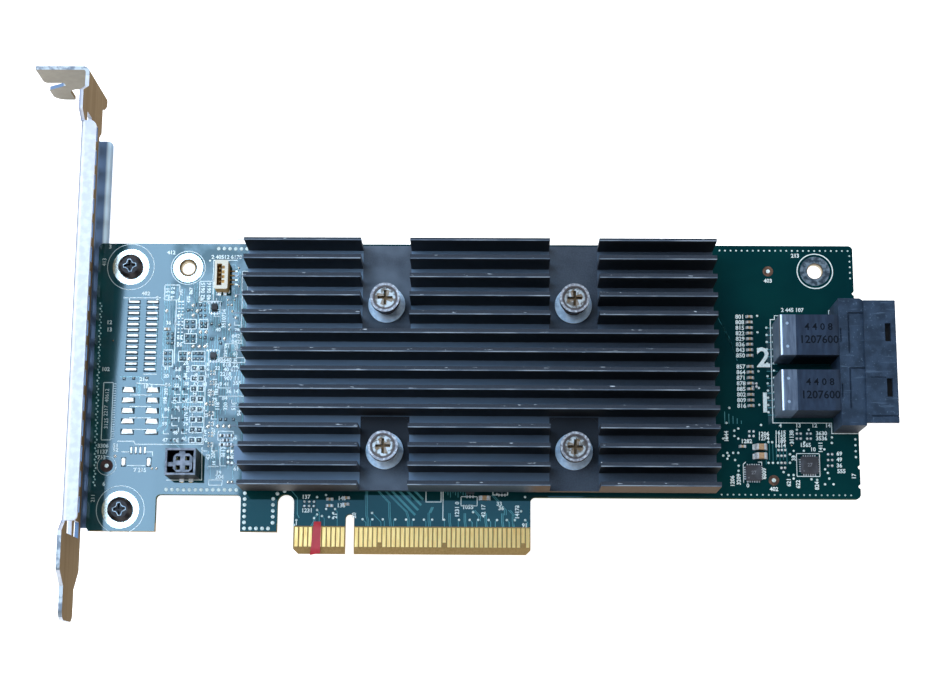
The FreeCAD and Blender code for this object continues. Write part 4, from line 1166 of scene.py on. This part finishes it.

# A pale strip along the low-y edge of each fin tip: partly wear, partly a painted highlight on the rounded
# edge.
arris = Mould()
fin_first_y = 13.75
fin_pitch = 4.088
fin_count = 14
fin_half_tip = 0.5
arris_width = 0.2
arris_inset = 0.13
for number in range(fin_count):
    edge_y = fin_first_y + fin_pitch * number - fin_half_tip + arris_inset
    cuts = [sink_low.x]
    if not pocket_rows[0] < edge_y < pocket_rows[1]:
        for span in pocket_spans:
            cuts += span
    cuts.append(sink_high.x)
    for start_x, end_x in zip(cuts[::2], cuts[1::2]):
        arris.slab((start_x + end_x) / 2, edge_y, end_x - start_x - 0.1, arris_width,
                   sink_high.z - 0.01, sink_high.z + 0.004)
arris.piece("fin_arrises", mottled(
    "arris_wear_and_highlight", (0.5, 4.0, (0.3, 1, 1)), (0.4, 0.66), (84, 99, 116), (140, 154, 168), (0.4, 0.15),
    Metallic=0.5))


# ---- Screws, washers and springs over the sink ----
# Each sink screw stands over a wound spring on a steel washer, and goes through the board
# into a thin nut. Its dished head has tarnished round the cross recess.

def steel(name, shade, light, metallic):
    """Plated or oxidised steel, its colour and gloss a little uneven."""
    return mottled(name, (2.0, 3.0), (0.4, 0.66), shade, light, (0.3, 0.14), 0.01, Metallic=metallic)


head = Finish("plated_screw")
head_high = board_box("heat_sink_screws")[1].z
head_cloud = head.noise(1.6, 3.0)
screw_middle = (85.1, 37.925)
screw_half_span = (20.4, 16.125)
cross_turn = 0.35
cross_half = 0.52
away_x = abs(head.x - screw_middle[0]) - screw_half_span[0]
away_y = abs(head.y - screw_middle[1]) - screw_half_span[1]
from_middle = (away_x * away_x + away_y * away_y).math("SQRT")
cross = (abs(away_x + away_y * cross_turn) < cross_half) + (abs(away_y - away_x * cross_turn) < cross_half)
rust = cross.math("MINIMUM", 1.0) * (from_middle < 1.75)
dish_colour = head.mix(head.noise(0.9, 4.0).ramp(0.42, 0.58), (196, 202, 206), (112, 106, 100))
dish_shade = from_middle.ramp(2.1, 2.3) * (1 - from_middle.ramp(2.6, 2.8))
head_deep = head.z.between(head_high - 1.3, head_high - 0.4)
# Painted shade: the head's side faces are darkened.
head_side = 1 - abs(head.face_z).ramp(0.3, 0.6)
dress(head.grained(
    head.layers(
        head.mix(head_cloud.ramp(0.4, 0.66), (136, 136, 144), (196, 202, 210)),
        (from_middle < 2.25, head.mix(rust * 0.75, dish_colour, (120, 94, 62))),
        (dish_shade * 0.9, (78, 68, 66)), (head_deep, (104, 80, 56)), (head_side * 0.75, (58, 48, 46))),
    head_cloud, (0.3, 0.2), 0.012, Metallic=0.75), "heat_sink_screws")
washer = Finish("washer_steel")
washer_turn = washer.noise(1.2, 3.0)
washer_colour = washer.mix(washer_turn.ramp(0.35, 0.65), (176, 200, 224), (200, 222, 242))
# Painted shade: the washer's side and lower faces are dark.
dress(washer.grained(
    washer.mix(washer.face_z < 0.5, washer_colour, (62, 66, 76)),
    washer_turn, (0.4, 0.1), 0.01, Metallic=0.5), "screw_washers")
dress(steel("retainer_steel", (160, 150, 130), (190, 182, 162), 0.9), "screw_retainers")

wire_radius = 0.28
coil_radius = 2.15
coil_turns = 4
wire_paint = steel("spring_steel", (58, 42, 38), (110, 90, 82), 0.8)
for number, (low, high) in enumerate(islands("screw_springs"), start=1):
    middle_x, middle_y = (low.x + high.x) / 2, (low.y + high.y) / 2
    bottom, top = low.z + wire_radius, high.z - wire_radius
    coil = bpy.data.curves.new("spring_coil", "CURVE")
    coil.dimensions = "3D"
    coil.bevel_depth = wire_radius * MM
    coil.bevel_resolution = 2
    coil.use_fill_caps = True
    wire = coil.splines.new("POLY")
    steps = coil_turns * 28
    wire.points.add(steps)
    for step in range(steps + 1):
        turn = 2 * math.pi * coil_turns * step / steps
        climb = min(max((turn / (2 * math.pi) - 0.5) / (coil_turns - 1), 0), 1)
        spot = at(middle_x + coil_radius * math.cos(turn), middle_y + coil_radius * math.sin(turn),
                  bottom + (top - bottom) * climb)
        wire.points[step].co = (*spot, 1)
    winding = bpy.data.objects.new("screw_spring_%d" % number, coil)
    scene.collection.objects.link(winding)
    coil.materials.append(wire_paint)
    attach(winding, "root")
    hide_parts("screw_springs")


# ---- Bracket ----
# Folded steel, zinc plated, with punched vents. The face turned to the board is painted the
# brown of the board's cut edge, a painted reflection, and the black screws bind the ears to the board.

zinc = Finish("zinc_plate")
spangle = zinc.noise(0.6, 3.0)
brush = zinc.noise(0.5, 3.0, (1, 0.06, 1))
patches = spangle.ramp(0.4, 0.65)
# Painted shade: the outward face is a darker grey.
outer_face = zinc.face_x < -0.7
# Painted shade: the front fold is darkened to a blue-grey.
front_fold = (zinc.z > 12) * (1 - zinc.x.ramp(-2.6, -1.7)) * zinc.y.between(3.0, 104.0)
cut_edge = (zinc.face_z > 0.7) * ((zinc.y > 104.5) + (zinc.y < 2.0)) * (zinc.x < -1.0)
# Painted reflection: the faces turned to the board are brown and less metallic.
inner_face = zinc.face_x.ramp(0.4, 0.8) * (zinc.x < 0)
# Painted shade: the tab's underside is a darker tan-grey.
under_tab = (zinc.face_y < -0.7) * (zinc.y > 100)
# Painted light: the rear flange's upward faces run from dark blue to near white across x, streaked with the
# brushing.
rear_face = (zinc.z < 0) * zinc.face_z.ramp(0.5, 0.8)
rear_glow = zinc.x.ramp(0.1, 0.8) * (1 - zinc.x.ramp(1.0, 1.7) * 0.6) * (0.5 + brush.ramp(0.35, 0.65) * 0.5)
dress(zinc.surface(
    Base_Color=zinc.layers(
        zinc.mix(patches, (184, 190, 202), (198, 204, 214)),
        (outer_face, zinc.mix(patches, (138, 144, 154), (162, 168, 176))),
        (front_fold * 0.8, (112, 120, 148)),
        (cut_edge, zinc.mix(spangle.ramp(0.4, 0.6), (116, 128, 142), (178, 190, 200))),
        (inner_face, zinc.mix(brush, (100, 84, 64), (122, 106, 84))),
        (under_tab, zinc.mix(spangle, (120, 114, 102), (138, 132, 120))),
        (rear_face, zinc.mix(rear_glow, (96, 120, 152), (218, 242, 255)))),
    Metallic=(1 - inner_face) * 0.55,
    Specular_IOR_Level=0.0,
    Roughness=0.38 + brush * 0.12,
    Normal=zinc.bump(spangle, 0.008)), "bracket")
dress(steel("black_screw", (12, 10, 15), (26, 21, 29), 0.4), "bracket_screws")

# Painted highlights: pale raised lines round each black screw's cross recess.
highlight_reach = 1.4
highlight_half = 0.42
highlight_corner = 0.62
cross_highlights = Mould()
for screw_x, screw_y in screw_rings:
    for quarter in range(4):
        turn = Matrix.Rotation(math.radians(90 * quarter + 6), 2)
        run = [turn @ Vector(spot) for spot in (
            (highlight_corner, highlight_corner), (highlight_half, 1.05), (highlight_half * 0.7, highlight_reach),
            (-highlight_half * 0.7, highlight_reach), (-highlight_half, 1.05), (-highlight_corner, highlight_corner))]
        cross_highlights.line([(screw_x + spot.x, screw_y + spot.y) for spot in run], 0.15, 1.58, 1.63)
cross_highlights.piece("recess_highlights", steel("painted_cross_highlight", (120, 140, 158), (176, 196, 210), 0.6))


# ---- Red tape ----
# A strip of thin red polyester film, cut by hand and stuck over two contacts a little
# askew.

red = Finish("red_polyester")
red_wave = red.noise(0.5, 2.0)
red_sheen = red.y.ramp(0.0, 1.6) * (1 - red.y.ramp(5.2, 6.6))
red_colour = red.mix(red_wave.ramp(0.35, 0.65), (168, 26, 40), (184, 40, 54))
dress(red.grained(
    red.mix(red_sheen * 0.45, red_colour, (186, 92, 104)),
    red_wave, (0.4, 0.2), 0.01, Specular_IOR_Level=0.3), "red_tape")
